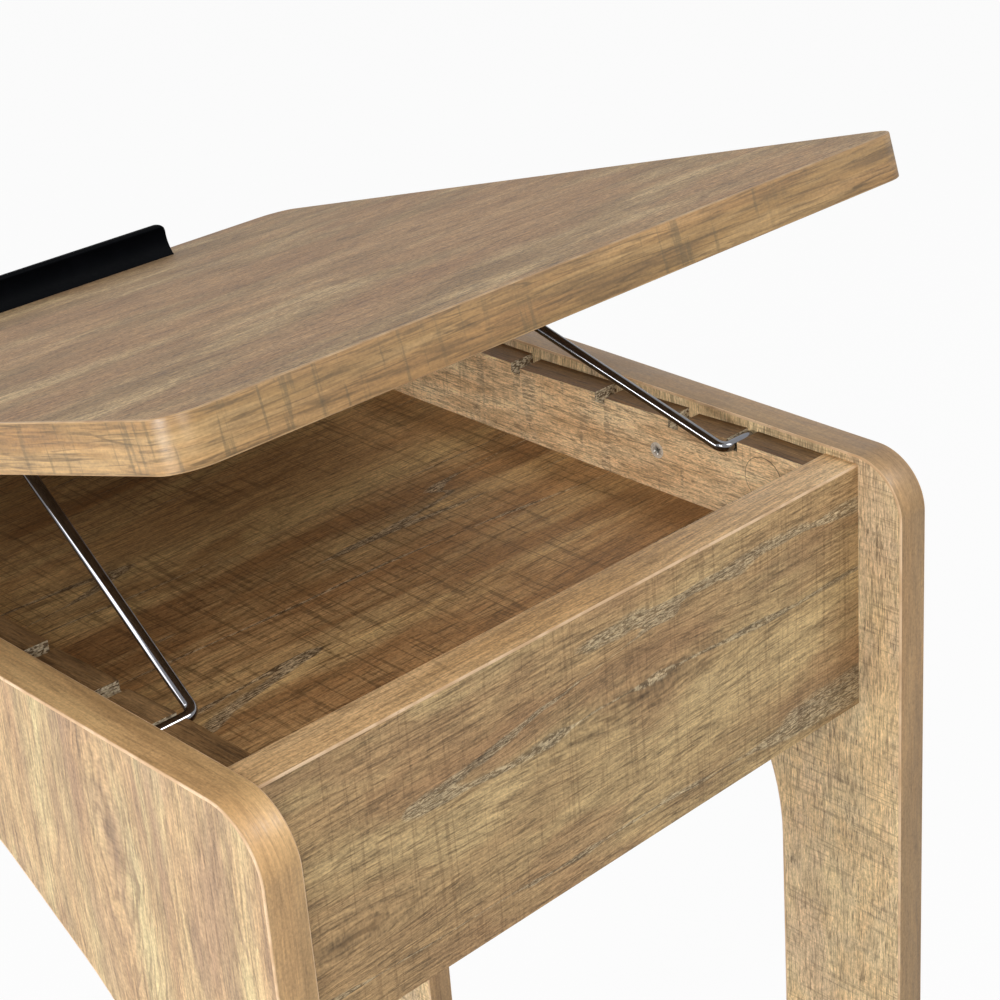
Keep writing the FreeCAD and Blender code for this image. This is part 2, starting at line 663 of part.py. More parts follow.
node(group(cams), "cam_locks")
node(group(bolts), "cam_bolts")
node(group(dowels), "dowels")
node(group(stickers), "cam_cover_stickers")
node(group(railScrews), "rail_screws")

# --- lid ---------------------------------------------------------------------------------


def lidBoard(name, inset):
    """The lid outline with rounded corners: inset 0 with its band, inset 1 for the board."""
    shrink = "%s * Dims.bandThick" % inset
    band = dim("bandThick") * inset
    front = dim("frameDepth") / 2 - dim("pinInset") + dim("lidBack") - dim("lidDepth")
    body = doc.addObject("PartDesign::Body", name)
    outline = newSketch(body, "XY_Plane", name + "Outline")
    rectangleSketch(
        outline,
        "Dims.lidWidth - 2 * " + shrink,
        "Dims.lidDepth - 2 * " + shrink,
        "Dims.lidWidth / -2 + " + shrink,
        LID_FRONT + " + " + shrink,
        (
            dim("lidWidth") - 2 * band,
            dim("lidDepth") - 2 * band,
            -dim("lidWidth") / 2 + band,
            front + band,
        ),
    )
    pad = body.newObject("PartDesign::Pad", name + "Pad")
    pad.Profile = outline
    bind(pad, Length="Dims.lidThick")
    doc.recompute()
    corners = uprightEdges(pad.Shape, Vector(0, 0, 1), lambda at: True)
    rounding = body.newObject("PartDesign::Fillet", name + "Rounding")
    rounding.Base = (pad, corners)
    bind(rounding, Radius="Dims.lidCorner - " + shrink)
    doc.recompute()
    bind(body, **{"Placement.Base.z": LID_BOTTOM})
    return body


LEDGE_SCREWS = ["-Dims.ledgeScrewStep", "0", "Dims.ledgeScrewStep"]
LEDGE_SCREW_Y = LEDGE_Y + " + Dims.ledgeScrewInset"
CLIP_PLACES = ["-Dims.clipOffset", "Dims.clipOffset"]
PIVOT_Y = PIN_Y + " - Dims.wirePivot"
PIVOT_Z = LID_BOTTOM + " - Dims.wireDrop"
CLIP_SCREW_YS = [PIVOT_Y + " - Dims.clipScrewReach", PIVOT_Y + " + Dims.clipScrewReach"]

lidHoles = leafScrewHoles(LID_BOTTOM, UPRIGHT)
for x in CLIP_PLACES:
    for y in CLIP_SCREW_YS:
        lidHoles.append(cylinder(x, y, LID_BOTTOM, "Dims.smallScrewRadius", "Dims.smallScrewDepth"))
for x in LEDGE_SCREWS:
    lidHoles.append(cylinder(x, LEDGE_SCREW_Y, LID_BOTTOM, "Dims.ledgeScrewRadius", "Dims.lidThick"))
lidNode(cut(lidBoard("lidBoard", 1), lidHoles), "lid_panel")
lidNode(cut(lidBoard("lidWhole", 0), [lidBoard("lidCore", 1)]), "lid_edge_band")

# --- ledge -------------------------------------------------------------------------------


LEDGE_HEIGHT = 15.1  # top of its rolled edge


def ledgeProfile():
    """Section in Y and Z: a hollow uphill face, a rolled top and a flange behind."""
    hollow = Part.Arc(Vector(0, 0, 0), Vector(0, 1.9, 7.4), Vector(0, 0.8, 13.0))
    top = Part.Arc(Vector(0, 0.8, 13.0), Vector(0, 2.6, LEDGE_HEIGHT), Vector(0, 4.6, 13.6))
    flange = dim("ledgeFlange")
    rest = [(4.6, 13.6), (5.4, 5.0), (flange, 4.0), (flange, 0.0), (0.0, 0.0)]
    rest = [Vector(0, y, z) for y, z in rest]
    edges = [hollow.toShape(), top.toShape()]
    edges += [Part.makeLine(a, b) for a, b in zip(rest, rest[1:])]
    return Part.Wire(edges)


ledgeBlank = doc.addObject("Part::Feature", "LedgeBlank")
ledgeBlank.Shape = Part.Face(ledgeProfile()).extrude(Vector(dim("ledgeLength"), 0, 0))
place(ledgeBlank, "-Dims.ledgeLength / 2", LEDGE_Y, LID_TOP)
ledgeCuts = [
    cylinder(x, LEDGE_SCREW_Y, LID_TOP, "Dims.ledgeScrewRadius", "Dims.ledgeScrewGrip")
    for x in LEDGE_SCREWS
]
roundLevel = LID_TOP + " + %s - Dims.ledgeEndRound" % LEDGE_HEIGHT
for side in (-1, 1):
    centre = "%d * (Dims.ledgeLength / 2 - Dims.ledgeEndRound)" % side
    start = "-Dims.ledgeLength / 2 - 1" if side < 0 else "Dims.ledgeLength / 2 - Dims.ledgeEndRound"
    corner = box(
        start,
        LEDGE_Y + " - 1",
        roundLevel,
        "Dims.ledgeEndRound + 1",
        "Dims.ledgeFlange",
        "Dims.ledgeEndRound + 1",
    )
    disc = cylinder(
        centre, LEDGE_Y + " - 1", roundLevel, "Dims.ledgeEndRound", "Dims.ledgeFlange", FACING_Y
    )
    ledgeCuts.append(cut(corner, [disc]))
lidNode(cut(ledgeBlank, ledgeCuts), "ledge")


def panScrew(x, y, z, headRadius, shankRadius, length):
    """A pan head screw driven upward, with a cross recess; z is the face under its head."""
    under = "Dims.panHeadDepth"
    flat = headRadius + " - Dims.panHeadTaper"
    head = cone(x, y, "%s - %s" % (z, under), flat, headRadius, under)
    shank = cylinder(x, y, z, shankRadius, length)
    recess = [
        box(
            "%s - %s / 2" % (x, width),
            "%s - %s / 2" % (y, depth),
            "%s - %s" % (z, under),
            width,
            depth,
            "Dims.recessDepth",
        )
        for width, depth in (CROSS, CROSS[::-1])
    ]
    return cut(fuse([head, shank]), recess)


ledgeScrews = [
    panScrew(
        x,
        LEDGE_SCREW_Y,
        LID_BOTTOM,
        "Dims.ledgeHeadRadius",
        "Dims.ledgeScrewRadius",
        "Dims.lidThick + Dims.ledgeScrewGrip",
    )
    for x in LEDGE_SCREWS
]
lidNode(group(ledgeScrews), "ledge_screws")

# --- hinges ------------------------------------------------------------------------------

KNUCKLES = 5
KNUCKLE_GAP = 0.3  # between knuckles, and round the other leaf's knuckles


def hingeScrewHead(x, fixed):
    """The countersunk head, which is also the shape of its seat in the leaf."""
    base = APRON_TOP if fixed else LID_BOTTOM
    turn = UPRIGHT if fixed else FACING_DOWN
    narrow, wide = "Dims.smallScrewRadius", "Dims.hingeHeadRadius"
    return cone(x, LEAF_SCREW_Y, base, narrow, wide, "Dims.leafThick", turn)


def hingeLeaf(middle, fixed):
    """One leaf with its share of the knuckles; the other leaf's knuckles are cut clear."""
    pitch = dim("hingeLength") / KNUCKLES
    own = [k for k in range(KNUCKLES) if (k % 2 == 0) == fixed]
    other = [k for k in range(KNUCKLES) if k not in own]
    z = APRON_TOP if fixed else LID_BOTTOM + " - Dims.leafThick"
    plate = box(
        middle + " - Dims.hingeLength / 2",
        PIN_Y + " - Dims.leafDepth",
        z,
        "Dims.hingeLength",
        "Dims.leafDepth",
        "Dims.leafThick",
    )
    clearance = []
    for k in other:
        x = "%s - Dims.hingeLength / 2 + %.3f" % (middle, k * pitch - KNUCKLE_GAP / 2)
        length = "%.3f" % (pitch + KNUCKLE_GAP)
        room = "Dims.knuckleRadius + %.1f" % KNUCKLE_GAP
        clearance.append(cylinder(x, PIN_Y, PIN_Z, room, length, FACING_X))
    barrels = []
    for k in own:
        x = "%s - Dims.hingeLength / 2 + %.3f" % (middle, k * pitch + KNUCKLE_GAP / 2)
        length = "%.3f" % (pitch - KNUCKLE_GAP)
        barrels.append(cylinder(x, PIN_Y, PIN_Z, "Dims.knuckleRadius", length, FACING_X))
    solid = fuse([cut(plate, clearance)] + barrels)
    tools = [
        cylinder(
            middle + " - Dims.hingeLength / 2 - 1",
            PIN_Y,
            PIN_Z,
            "Dims.boreRadius",
            "Dims.hingeLength + 2",
            FACING_X,
        )
    ]
    tools += [hingeScrewHead(middle + " + " + offset, fixed) for offset in HINGE_SCREWS]
    return cut(solid, tools)


def hingeScrew(x, fixed):
    """A countersunk screw whose head lies flush in its leaf."""
    base = APRON_TOP if fixed else LID_BOTTOM
    back = FACING_DOWN if fixed else UPRIGHT
    length = "Dims.smallScrewDepth - Dims.screwTipRoom"
    shank = cylinder(x, LEAF_SCREW_Y, base, "Dims.smallScrewRadius", length, back)
    level = base + (" + Dims.leafThick / 2" if fixed else " - Dims.leafThick * 1.5")
    recess = [
        box(
            "%s - %s / 2" % (x, width),
            "%s - %s / 2" % (LEAF_SCREW_Y, depth),
            level,
            width,
            depth,
            "Dims.leafThick",
        )
        for width, depth in (CROSS, CROSS[::-1])
    ]
    return cut(fuse([hingeScrewHead(x, fixed), shank]), recess)


node(group([hingeLeaf(x, True) for x in HINGE_PLACES]), "hinge_fixed_leaves")
lidNode(group([hingeLeaf(x, False) for x in HINGE_PLACES]), "hinge_moving_leaves")
pins = [
    cylinder(
        x + " - Dims.hingeLength / 2", PIN_Y, PIN_Z, "Dims.pinRadius", "Dims.hingeLength", FACING_X
    )
    for x in HINGE_PLACES
]
node(group(pins), "hinge_pins")
screwPlaces = [x + " + " + offset for x in HINGE_PLACES for offset in HINGE_SCREWS]
node(group([hingeScrew(x, True) for x in screwPlaces]), "hinge_fixed_screws")
lidNode(group([hingeScrew(x, False) for x in screwPlaces]), "hinge_moving_screws")

# --- support wire ------------------------------------------------------------------------


def mirrored(point):
    return Vector(-point.x, point.y, point.z)


def bend(corner, before, after, radius):
    """Start, middle and end of the arc that rounds a corner between two directions."""
    turn = before.getAngle(after)
    reach = radius * math.tan(turn / 2)
    start = corner - before * reach
    end = corner + after * reach
    bisector = (after - before).normalize()
    centre = corner + bisector * (radius / math.cos(turn / 2))
    middle = centre - bisector * radius
    return start, middle, end


def wireAtRest():
    """The crossbar's axis with the lid open, and the fall from it to the feet in Y and Z."""
    pinY = dim("frameDepth") / 2 - dim("pinInset")
    pinZ = dim("frameTop") + dim("lidGap") - dim("knuckleRadius")
    closed = Vector(0, -dim("wirePivot"), dim("knuckleRadius") - dim("wireDrop"))
    open = Rotation(Vector(1, 0, 0), -dim("openAngle")).multVec(closed)
    crossbar = Vector(0, pinY + open.y, pinZ + open.z)
    foot = Vector(
        0,
        -dim("frameDepth") / 2 + dim("notchOne"),
        dim("frameTop") - dim("notchDrop") + dim("wirePlay") + dim("wireRadius"),
    )
    return crossbar, crossbar - foot


def wirePaths(reach):
    """Centre lines in the wire's own plane: the bail from bend to bend, and the two feet.

    The plane is X and Y, with the crossbar on the X axis and the feet towards -Y."""
    corner = Vector(dim("barHalf"), 0, 0)
    foot = Vector(dim("footHalf"), -reach, 0)
    tip = foot + Vector(dim("footLength"), 0, 0)
    across = Vector(1, 0, 0)
    down = (foot - corner).normalize()
    cornerStart, cornerMiddle, cornerEnd = bend(corner, across, down, dim("barBend"))
    footStart, footMiddle, footEnd = bend(foot, down, across, dim("footBend"))
    bail = [
        Part.makeLine(mirrored(footStart), mirrored(cornerEnd)),
        Part.Arc(mirrored(cornerEnd), mirrored(cornerMiddle), mirrored(cornerStart)).toShape(),
        Part.makeLine(mirrored(cornerStart), cornerStart),
        Part.Arc(cornerStart, cornerMiddle, cornerEnd).toShape(),
        Part.makeLine(cornerEnd, footStart),
    ]
    rightFoot = [
        Part.Arc(footStart, footMiddle, footEnd).toShape(),
        Part.makeLine(footEnd, tip),
    ]
    leftFoot = [
        Part.Arc(mirrored(footStart), mirrored(footMiddle), mirrored(footEnd)).toShape(),
        Part.makeLine(mirrored(footEnd), mirrored(tip)),
    ]
    return [Part.Wire(bail)], [Part.Wire(rightFoot), Part.Wire(leftFoot)]


def rod(path):
    """A round rod along a path of lines and arcs."""
    start = path.Edges[0].valueAt(path.Edges[0].FirstParameter)
    along = path.Edges[0].tangentAt(path.Edges[0].FirstParameter)
    ring = Part.Wire(Part.makeCircle(dim("wireRadius"), start, along))
    return path.makePipeShell([ring], True, True)


crossbar, fall = wireAtRest()
slope = math.degrees(math.atan2(fall.z, fall.y))
print("crossbar axis at rest %.3f %.3f, wire reach %.3f, slope %.3f" % (
    crossbar.y, crossbar.z, fall.Length, slope))
bailPaths, footPaths = wirePaths(fall.Length)
wirePose = Placement(crossbar, Rotation(Vector(1, 0, 0), slope))
for label, paths in (("support_wire", bailPaths), ("support_wire_feet", footPaths)):
    rods = [rod(path) for path in paths]
    piece = doc.addObject("Part::Feature", "Wire")
    piece.Shape = rods[0] if len(rods) == 1 else Part.makeCompound(rods)
    piece.Placement = wirePose
    node(piece, label)
    length = sum(path.Length for path in paths)
    area = math.pi * dim("wireRadius") ** 2
    print("%s volume %.1f, section times length %.1f" % (label, piece.Shape.Volume, area * length))


def wireClip(middle):
    """A saddle over the crossbar: a half ring between two tabs against the lid."""
    x = middle + " - Dims.clipWidth / 2"
    outer = "(Dims.wireRadius + Dims.clipClear + Dims.clipThick)"
    inner = "(Dims.wireRadius + Dims.clipClear)"
    ring = cylinder(x, PIVOT_Y, PIVOT_Z, outer, "Dims.clipWidth", FACING_X)
    neckY = "%s - %s" % (PIVOT_Y, outer)
    neck = box(x, neckY, PIVOT_Z, "Dims.clipWidth", "2 * " + outer, "Dims.wireDrop")
    tabs = box(
        x,
        PIVOT_Y + " - Dims.clipReach",
        LID_BOTTOM + " - Dims.clipThick",
        "Dims.clipWidth",
        "2 * Dims.clipReach",
        "Dims.clipThick",
    )
    bore = cylinder(x, PIVOT_Y, PIVOT_Z, inner, "Dims.clipWidth", FACING_X)
    slotY = "%s - %s" % (PIVOT_Y, inner)
    slot = box(x, slotY, PIVOT_Z, "Dims.clipWidth", "2 * " + inner, "2 * Dims.wireDrop")
    level = LID_BOTTOM + " - 2 * Dims.clipThick"
    holes = [
        cylinder(middle, y, level, "Dims.smallScrewRadius", "3 * Dims.clipThick")
        for y in CLIP_SCREW_YS
    ]
    return cut(fuse([ring, neck, tabs]), [bore, slot] + holes)


def clipScrew(x, y):
    face = LID_BOTTOM + " - Dims.clipThick"
    length = "Dims.smallScrewDepth + Dims.clipThick - Dims.screwTipRoom"
    return panScrew(x, y, face, "Dims.clipHeadRadius", "Dims.smallScrewRadius", length)


lidNode(group([wireClip(x) for x in CLIP_PLACES]), "wire_clips")
lidNode(group([clipScrew(x, y) for x in CLIP_PLACES for y in CLIP_SCREW_YS]), "wire_clip_screws")

bumpers = []
for side in (-1, 1):
    x = "%d * (Dims.frameWidth / 2 - Dims.sideThick / 2)" % side
    for y in ends("Dims.bumperInset"):
        bumpers.append(
            cylinder(x, y, LID_BOTTOM, "Dims.bumperRadius", "Dims.bumperThick", FACING_DOWN)
        )
lidNode(group(bumpers), "lid_bumpers")

# --- checks and export -------------------------------------------------------------------

doc.recompute()
for item in doc.Objects:
    if "Invalid" in item.State or "Error" in item.State:
        raise RuntimeError("%s (%s) failed: %s" % (item.Name, item.Label, item.State))
for item in NODES:
    if item.Shape.isNull() or not item.Shape.isValid():
        raise RuntimeError("%s has no valid shape" % item.Label)
os.makedirs("parts", exist_ok=True)
for item in NODES:
    item.Shape.exportStep(os.path.join("parts", item.Label + ".step"))
    room = item.Shape.BoundBox
    print("%-26s solids %2d volume %10.1f  x %.1f %.1f y %.1f %.1f z %.1f %.1f" % (
        item.Label, len(item.Shape.Solids), item.Shape.Volume,
        room.XMin, room.XMax, room.YMin, room.YMax, room.ZMin, room.ZMax))
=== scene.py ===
import bmesh
import bpy
import inspect
import json
import math
from mathutils import Matrix, Vector


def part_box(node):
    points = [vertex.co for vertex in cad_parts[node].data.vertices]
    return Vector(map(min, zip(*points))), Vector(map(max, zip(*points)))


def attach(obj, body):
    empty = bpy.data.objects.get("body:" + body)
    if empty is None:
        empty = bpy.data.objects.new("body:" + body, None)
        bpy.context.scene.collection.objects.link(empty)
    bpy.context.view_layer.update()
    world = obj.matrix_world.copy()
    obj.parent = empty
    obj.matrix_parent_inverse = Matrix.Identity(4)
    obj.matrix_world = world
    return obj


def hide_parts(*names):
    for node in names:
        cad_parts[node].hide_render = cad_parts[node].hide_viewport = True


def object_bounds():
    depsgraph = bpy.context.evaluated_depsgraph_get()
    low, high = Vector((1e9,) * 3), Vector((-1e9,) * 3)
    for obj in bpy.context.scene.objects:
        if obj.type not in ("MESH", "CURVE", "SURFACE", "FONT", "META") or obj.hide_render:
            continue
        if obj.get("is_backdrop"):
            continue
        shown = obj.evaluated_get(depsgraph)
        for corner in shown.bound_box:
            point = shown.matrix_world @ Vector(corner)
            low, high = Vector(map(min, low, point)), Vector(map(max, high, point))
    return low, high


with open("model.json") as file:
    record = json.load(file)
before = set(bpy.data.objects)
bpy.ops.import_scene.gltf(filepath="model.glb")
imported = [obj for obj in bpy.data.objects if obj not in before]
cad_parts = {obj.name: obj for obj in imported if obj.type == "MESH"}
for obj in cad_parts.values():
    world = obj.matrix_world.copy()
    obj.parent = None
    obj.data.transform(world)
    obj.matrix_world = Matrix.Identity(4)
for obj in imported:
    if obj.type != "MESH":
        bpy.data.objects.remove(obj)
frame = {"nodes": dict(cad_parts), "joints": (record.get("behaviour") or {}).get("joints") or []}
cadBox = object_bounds()
mm = 0.001  # all lengths are in metres
joints = {joint["name"]: joint for joint in frame["joints"]}


def newObject(name, data):
    item = bpy.data.objects.new(name, data)
    bpy.context.scene.collection.objects.link(item)
    return item


# the lid's own frame: the lid is drawn shut, then turned about its hinge

hinge = joints["lid_hinge"]
hingePoint = Vector(hinge["pos_m"])
shutAngle = math.radians(hinge["range_deg"][0])  # from rest to shut, about the hinge axis
shutTurn = Matrix.Rotation(shutAngle, 4, Vector(hinge["axis"]))
toShut = Matrix.Translation(hingePoint) @ shutTurn @ Matrix.Translation(-hingePoint)
toRest = toShut.inverted()
lidUp = (toRest.to_3x3() @ Vector((0, 0, 1))).normalized()


# camera

camera = {
    "place": (-0.48545, -0.68299, 0.96718),
    "yaw": 46.151,
    "pitch": 25.391,
    "roll": -2.347,
    "lens": 83.73,
    "sensor": 36,
    "shift": (-0.18, -0.04),
    "clip": (0.02, 50),
}


def addCamera(values):
    yaw, pitch, roll = (math.radians(values[key]) for key in ("yaw", "pitch", "roll"))
    ahead = Vector((math.sin(yaw) * math.cos(pitch), math.cos(yaw) * math.cos(pitch), -math.sin(pitch)))
    level = Vector((math.cos(yaw), -math.sin(yaw), 0))
    upright = level.cross(ahead)
    right = math.cos(roll) * level + math.sin(roll) * upright
    top = math.cos(roll) * upright - math.sin(roll) * level
    data = bpy.data.cameras.new("camera")
    data.lens = values["lens"]
    data.sensor_width = values["sensor"]
    data.sensor_fit = "HORIZONTAL"
    data.shift_x, data.shift_y = values["shift"]
    data.clip_start, data.clip_end = values["clip"]
    item = newObject("camera", data)
    turned = Matrix((right, top, -ahead)).transposed().to_4x4()
    item.matrix_world = Matrix.Translation(Vector(values["place"])) @ turned
    bpy.context.scene.camera = item


addCamera(camera)
print("camera placed")


# node helpers: sums of values become nodes, so a pattern can be written as a sum

class Value:  # a socket in a node tree
    def __init__(self, tree, socket):
        self.tree = tree
        self.socket = socket

    def __add__(self, other):
        return join("ADD", self, other)

    def __radd__(self, other):
        return join("ADD", other, self)

    def __sub__(self, other):
        return join("SUBTRACT", self, other)

    def __mul__(self, other):
        return join("MULTIPLY", self, other)

    def __truediv__(self, other):
        return join("DIVIDE", self, other)

    def __rtruediv__(self, other):
        return join("DIVIDE", other, self)

    def __abs__(self):
        return join("ABSOLUTE", self)


def feed(node, inputs):  # a value is linked, a plain number is written in
    for key, value in inputs.items():
        if isinstance(value, Value):
            value.tree.links.new(value.socket, node.inputs[key])
        else:
            node.inputs[key].default_value = value


def add(tree, kind, inputs=None, **settings):
    node = tree.nodes.new(kind)
    for key, value in settings.items():
        setattr(node, key, value)
    feed(node, inputs or {})
    return node


def pick(tree, kind, inputs=None, output=0, **settings):  # one output of a new node
    return Value(tree, add(tree, kind, inputs, **settings).outputs[output])


def firstValue(*candidates):  # the others may be plain numbers
    return next(item for item in candidates if isinstance(item, Value))


def join(operation, *values):  # number with number, or vector with vector
    first = firstValue(*values)
    kind = "ShaderNodeVectorMath" if first.socket.type == "VECTOR" else "ShaderNodeMath"
    return pick(first.tree, kind, dict(enumerate(values)), operation=operation)


def larger(first, second):
    return join("MAXIMUM", first, second)


def sine(value):
    return join("SINE", value)


def scaled(vector, factor):
    return pick(vector.tree, "ShaderNodeVectorMath", {0: vector, "Scale": factor}, operation="SCALE")


def combine(**parts):
    return pick(firstValue(*parts.values()).tree, "ShaderNodeCombineXYZ", parts)


def pace(along, across):  # how fast a pattern runs along the grain and across it
    return combine(X=along, Y=across, Z=across)


def noise(vector, along, across, detail=2.0, rough=0.5, distortion=0.0):
    inputs = {"Vector": vector * (along, across, across), "Scale": 1.0, "Detail": detail,
              "Roughness": rough, "Distortion": distortion}
    return pick(vector.tree, "ShaderNodeTexNoise", inputs, "Fac")


def ramp(value, low, high, start=0.0, end=1.0):
    inputs = {"Value": value, "From Min": low, "From Max": high, "To Min": start, "To Max": end}
    return pick(value.tree, "ShaderNodeMapRange", inputs, "Result", interpolation_type="SMOOTHSTEP")


def mix(factor, first, second, blend="MIX"):
    tree = firstValue(factor, first, second).tree
    inputs = {0: factor, 6: first, 7: second}
    return pick(tree, "ShaderNodeMix", inputs, 2, data_type="RGBA", blend_type=blend)


def centred(value, reach):  # 0 to 1 becomes half the reach either way
    return (value - 0.5) * reach


def sideways(vector, amount):
    return vector + combine(Y=amount)


def fade(value, low, high):  # 1 below low, 0 above high
    return ramp(value, low, high, 1.0, 0.0)


socketKinds = {
    "vector": "Vector", "centre": "Vector", "geometry": "Geometry", "fitting": "Object",
    "finish": "Material", "roundParts": "Int", "arcParts": "Int",
}  # every other input and output is a number


def addSockets(group, side, labels):
    for label in labels:
        kind = "NodeSocket" + socketKinds.get(label, "Float")
        group.interface.new_socket(label, in_out=side, socket_type=kind)


def newGroup(build, kind="ShaderNodeTree"):  # its inputs and outputs are what build takes and returns
    group = bpy.data.node_groups.new(build.__name__, kind)
    inputs = list(inspect.signature(build).parameters)
    addSockets(group, "INPUT", inputs)
    given = group.nodes.new("NodeGroupInput").outputs
    results = build(*(Value(group, given[label]) for label in inputs))
    addSockets(group, "OUTPUT", results)
    add(group, "NodeGroupOutput", results)
    return group


def place(tree, group, **values):  # a shared group inside a material, with its own values
    node = add(tree, "ShaderNodeGroup", values, node_tree=group)
    return {socket.name: Value(tree, socket) for socket in node.outputs}


# shared groups of the oak print; vectors are in millimetres: along the grain, across it, through the board

def oakFigure(vector, swirl, streakWidth, streakLength, lineCount):  # the slow figure of the print
    bent = sideways(vector, centred(noise(vector, 0.0045, 0.014, 1.5), swirl))
    across = 1.0 / streakWidth
    streaked = bent * pace(across / streakLength, across)
    contour = noise(streaked + (5, 29, 11), 0.9, 1.3, 1.2, 0.45)
    wave = sine(contour * (lineCount * (2 * math.pi)))
    broken = noise(streaked, 1.5, 4.0, 2.0, 0.6)
    clouds = noise(bent + (41, 83, 19), 0.011, 0.03, 4.0, 0.6)
    return {
        "tone": noise(streaked, 1, 1, 4.0, 0.55),
        "warmth": noise(streaked + (13, 7, 3), 0.7, 0.8),
        "streaks": noise(streaked, 2.2, 6.5, 3.0, 0.6),
        "lines": ramp(wave, 0.84, 0.99) * ramp(broken, 0.40, 0.56),
        "stains": ramp(clouds, 0.50, 0.64),
    }


# fine hairs, dark dashes of the pores, and the grain of the print
def oakFibre(vector, hairWidth, hairLength, dashWidth, dashLength, dashDensity, threadSpacing, crowding):
    bent = sideways(vector, centred(noise(vector, 0.012, 0.04, 1.5), 3.0))
    apart = 1.0 / threadSpacing
    field = noise(bent * pace(apart * 0.05, apart), 1, 1, 1.0)
    broken = noise(bent, 0.06, 0.5, 2.0, 0.6)
    spots = noise(bent * pace(1.0 / dashLength, 1.0 / dashWidth), 1, 1, 1.0)
    crowd = centred(noise(bent + (31, 17, 5), 0.012, 0.07), 0.4)
    excess = spots + (crowd + dashDensity + crowding * 0.16) - 0.66
    return {
        "hairs": noise(bent * pace(1.0 / hairLength, 1.0 / hairWidth), 1, 1, 2.0, 0.7),
        "threads": fade(abs(field - 0.5), 0.015, 0.07) * ramp(broken, 0.40, 0.56),
        "dashes": ramp(excess, 0.0, 0.06),
        "speckle": noise(vector, 0.7, 1.1, 1.5, 0.7),
    }


# lines that a saw leaves across the grain, and rougher bands of them
def sawMarks(vector, sawSpacing, sawWidth, sawCover, bandSpacing, bandLevel):
    bent = vector + combine(X=centred(noise(vector, 0.012, 0.016, 1.0), 1.2))
    close = 1.0 / sawSpacing
    field = noise(bent * pace(close, 0.005), 1, 1, 1.0)
    stroke = fade(abs(field - 0.5) / (sawWidth * 0.4 * close), 0.4, 1.0)
    breaks = noise(bent, 0.35, 0.045, 3.0, 0.65)
    patches = noise(vector + (9, 61, 3), 0.013, 0.02)
    bands = noise(bent * pace(1.0 / bandSpacing, 0.018), 1, 1, 1.5, 0.6)
    return {
        "lines": stroke * ramp(breaks, 0.42, 0.56) * ramp(patches + sawCover, 0.92, 1.12),
        "bands": ramp(bands - bandLevel, 0.0, 0.05) * ramp(breaks, 0.38, 0.54),
    }


# long splits and worn patches, filled with fine pale and dark strands
def crazing(vector, splitWidth, splitSpacing, patchCover):
    bent = sideways(vector, centred(noise(vector, 0.006, 0.02), 14.0))
    apart = 1.0 / splitSpacing
    field = noise(bent * pace(apart * 0.06, apart), 1, 1, 1.2, 0.4)
    reach = splitWidth * ramp(noise(bent, 0.02, 0.05), 0.35, 0.7, 0.05, 1.0)
    worn = noise(bent + (77, 40, 9), 0.016, 0.045, 3.0, 0.6)
    return {
        "splits": fade(abs(field - 0.5) / reach, 0.5, 1.0),
        "patches": ramp(worn + patchCover, 1.06, 1.2),
        "strands": noise(bent, 0.28, 1.5, 3.0, 0.75, 0.6),
    }


def knot(vector, centre, size):  # dark in the middle, with rings, and grain that flows round it
    apart = (vector + scaled(centre, -1.0)) * (0.3, 1.0, 0.0)
    length = pick(vector.tree, "ShaderNodeVectorMath", {0: apart}, "Value", operation="LENGTH")
    far = length / size + centred(noise(vector, 0.05, 0.13), 1.3)
    aside = pick(vector.tree, "ShaderNodeSeparateXYZ", {0: apart}, "Y")
    rings = ramp(sine(far * 8.0), 0.2, 0.95) * ramp(far, 0.8, 3.4, 0.55, 0.0)
    return {
        "shift": aside * (ramp(far, 0.3, 4.5, 0.7, 0.0) * -1.0),
        "mask": larger(rings, fade(far, 0.2, 1.0)),
    }


figureGroup = newGroup(oakFigure)
fibreGroup = newGroup(oakFibre)
sawGroup = newGroup(sawMarks)
crazingGroup = newGroup(crazing)
knotGroup = newGroup(knot)
print("shared groups built")


# materials

def tint(red, green, blue):  # a colour as a paint chart gives it, 0 to 255
    def linear(part):
        part /= 255
        return part / 12.92 if part <= 0.04045 else ((part + 0.055) / 1.055) ** 2.4
    return (linear(red), linear(green), linear(blue), 1)


def newMaterial(name):
    material = bpy.data.materials.new(name)
    material.use_nodes = True
    tree = material.node_tree
    tree.nodes.clear()
    shader = add(tree, "ShaderNodeBsdfPrincipled")
    add(tree, "ShaderNodeOutputMaterial", {0: Value(tree, shader.outputs[0])})
    return material, tree, shader


def addBump(shader, height, strength, relief):
    inputs = {"Height": height, "Strength": strength, "Distance": relief}
    feed(shader, {"Normal": pick(height.tree, "ShaderNodeBump", inputs)})


def attribute(tree, name):  # a value that a mesh carries from point to point
    return pick(tree, "ShaderNodeAttribute", None, "Fac", attribute_name=name)


printStep = (997, 431, 53)  # millimetres of print between one seed and the next


def offsetGrain(source, seed):  # metres to millimetres, on a stretch of print of its own
    return scaled(source, 1000.0) + tuple(seed * step for step in printStep)


def objectPlace(tree):
    return pick(tree, "ShaderNodeTexCoord", None, "Object")


def objectGrain(tree, axes, seed):  # object coordinates sorted into along, across, through
    parts = add(tree, "ShaderNodeSeparateXYZ", {0: objectPlace(tree)}).outputs
    picked = {key: Value(tree, parts["xyz".index(axis)]) for key, axis in zip("XYZ", axes)}
    return offsetGrain(combine(**picked), seed)


def sortedGrain(axes):
    return lambda tree, seed: objectGrain(tree, axes, seed)


def lidGrain(tree, seed):  # the same on the tilted lid, laid level first
    turn, move = tuple(toShut.to_euler()), tuple(toShut.translation)
    inputs = {"Vector": objectPlace(tree), "Rotation": turn, "Location": move}
    return offsetGrain(pick(tree, "ShaderNodeMapping", inputs, vector_type="POINT"), seed)


